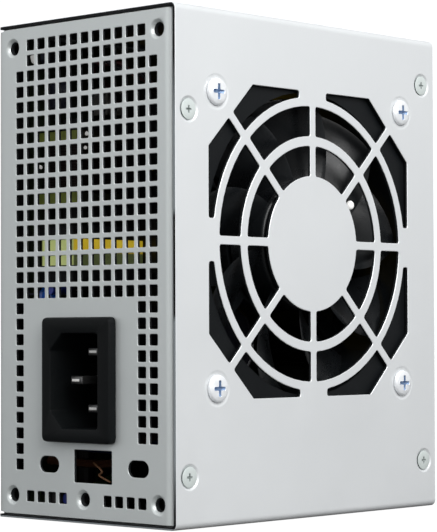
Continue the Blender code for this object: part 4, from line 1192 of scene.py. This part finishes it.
FAN_ROUTE = [(13.6, -13.5, 82.4), (13.6, -20.0, 89.0), (13.6, -30.0, 99.0), (12.6, -38.5, 107.5),
             (7.0, -42.5, 112.0), (-4.0, -42.0, 114.5), (-12.5, -33.0, 112.0), (-15.6, -21.5, 107.0)]
fan_route = along(FAN_ROUTE, 0.9)
red_wire = strand("fan_wire_red", fan_route, 0.0, RED_SHADED)
strand("fan_wire_black", fan_route, math.pi, SLEEVE)
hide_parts("fan_lead")
CHOKE_END = [(-2, -44.5, 14.5), (1.5, -45, 12.5), (0.5, -45, 11.5), (4.5, -45, 10)]
strand("choke_wire_end", along(CHOKE_END, 0.4), 0.0, ENAMEL, 0.27, 0.0)
print("fan wires:", len(fan_route), "points each")

# %% Balancing putty
dab_bm = bmesh.new()
blob(dab_bm, (28.2, 18.9, 79.6), (0.9, 1.2, 1.2))
make_piece("balance_putty", dab_bm, "rotor", [SILICONE_GLOWING], sharp=80)

# %% Leads of the blue capacitor, and sleeves on the terminals
def rod(bm, place, axis, radius, length, sides):
    """A round rod that starts upright and is turned a quarter about an axis."""
    laid = Matrix.Translation(place) @ Matrix.Rotation(math.pi / 2, 4, axis)
    bmesh.ops.create_cone(bm, cap_ends=True, segments=sides, radius1=radius, radius2=radius,
                          depth=length, matrix=laid)


LEAD_RADIUS, LEAD_SPREAD, LEAD_STOP = 0.3, 2.5, 3.0
disc = middle("disc_capacitor_1")
leads_bm = bmesh.new()
board_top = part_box("circuit_board")[1].x / MM
reach = disc.x - LEAD_STOP - board_top
for side in (-LEAD_SPREAD, LEAD_SPREAD):
    rod(leads_bm, (board_top + reach / 2, disc.y, disc.z + side), "Y", LEAD_RADIUS, reach, 16)
make_piece("capacitor_leads", leads_bm, "case", [DULL_STEEL])

SLEEVE_RADIUS = 1.4
SLEEVES = (((-12.4, -46.5, 57.6), 6.5), ((-7.2, -47.6, 5.6), 2.4))
sleeves_bm = bmesh.new()
for place, length in SLEEVES:
    rod(sleeves_bm, place, "X", SLEEVE_RADIUS, length, 32)
make_piece("terminal_sleeves", sleeves_bm, "case", [NAVY])

# %% [markdown]
# ## Finishes for the pieces that the frame already shapes
# The board, what stands on it, the heat sinks, the windings and the wires keep the frame's solids. Each
# gets its own finish here. They are looked at through the vents and the grille.

# %% Finishes by node
NODE_FINISHES = {
    FRAME_BLACK: ["fan_frame"],
    FERRITE: ["fan_magnet_ring", "transformer_core", "standby_transformer_core", "filter_choke_core",
              "output_choke_core"],
    DULL_STEEL: ["fan_shaft"] + [f"board_{kind}_{n}" for kind in ("spacer", "screw") for n in (1, 2, 3, 4)],
    BRONZE: ["fan_bearing"],
    WOUND_COPPER_SHADE: ["fan_stator", "filter_choke_winding", "output_choke_winding"],
    BOARD: ["circuit_board"],
    FILM: ["insulation_sheet"],
    HEAT_SINK: ["primary_heat_sink", "secondary_heat_sink"],
    CHIP: ["switching_transistor", "output_rectifier", "bridge_rectifier"],
    TAPE_PAINTED_LIGHT: ["transformer_winding", "standby_transformer_tape"],
    BOBBIN: ["filter_choke_bobbin"],
    SLEEVE: ["bulk_capacitor_1", "bulk_capacitor_2", "output_capacitor_1", "output_capacitor_2"],
    FILM_CASE: ["mains_film_capacitor"],
    BLUE_DIP: ["disc_capacitor_1"],
    DARK_DIP: ["disc_capacitor_2"],
    HEAT_SHRINK: ["mains_fuse", "earth_tab"],
    BROWN: ["line_wire"],
    NEUTRAL_BLUE_SHADED: ["neutral_wire"],
    EARTH_SHADED: ["earth_wire"],
    NYLON: ["fan_connector"],
}
for material, names in NODE_FINISHES.items():
    for name in names:
        slots = nodes[name].data.materials
        slots.clear()
        slots.append(material)
finished = sum(NODE_FINISHES.values(), [])
unfinished = [name for name, node in nodes.items() if not node.hide_render and name not in finished]
print("nodes left without a finish:", unfinished)

# %% [markdown]
# ## Compare the sizes
# The visual model's box is set against the frame's box, and the difference in each direction is printed
# in millimetres.

# %% Compare the boxes and finish
visual_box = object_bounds()
growth = [(b - a) / MM for a, b in zip(cad_box[1] - cad_box[0], visual_box[1] - visual_box[0])]
print("visual box minus frame box, in millimetres:", [round(value, 3) for value in growth])
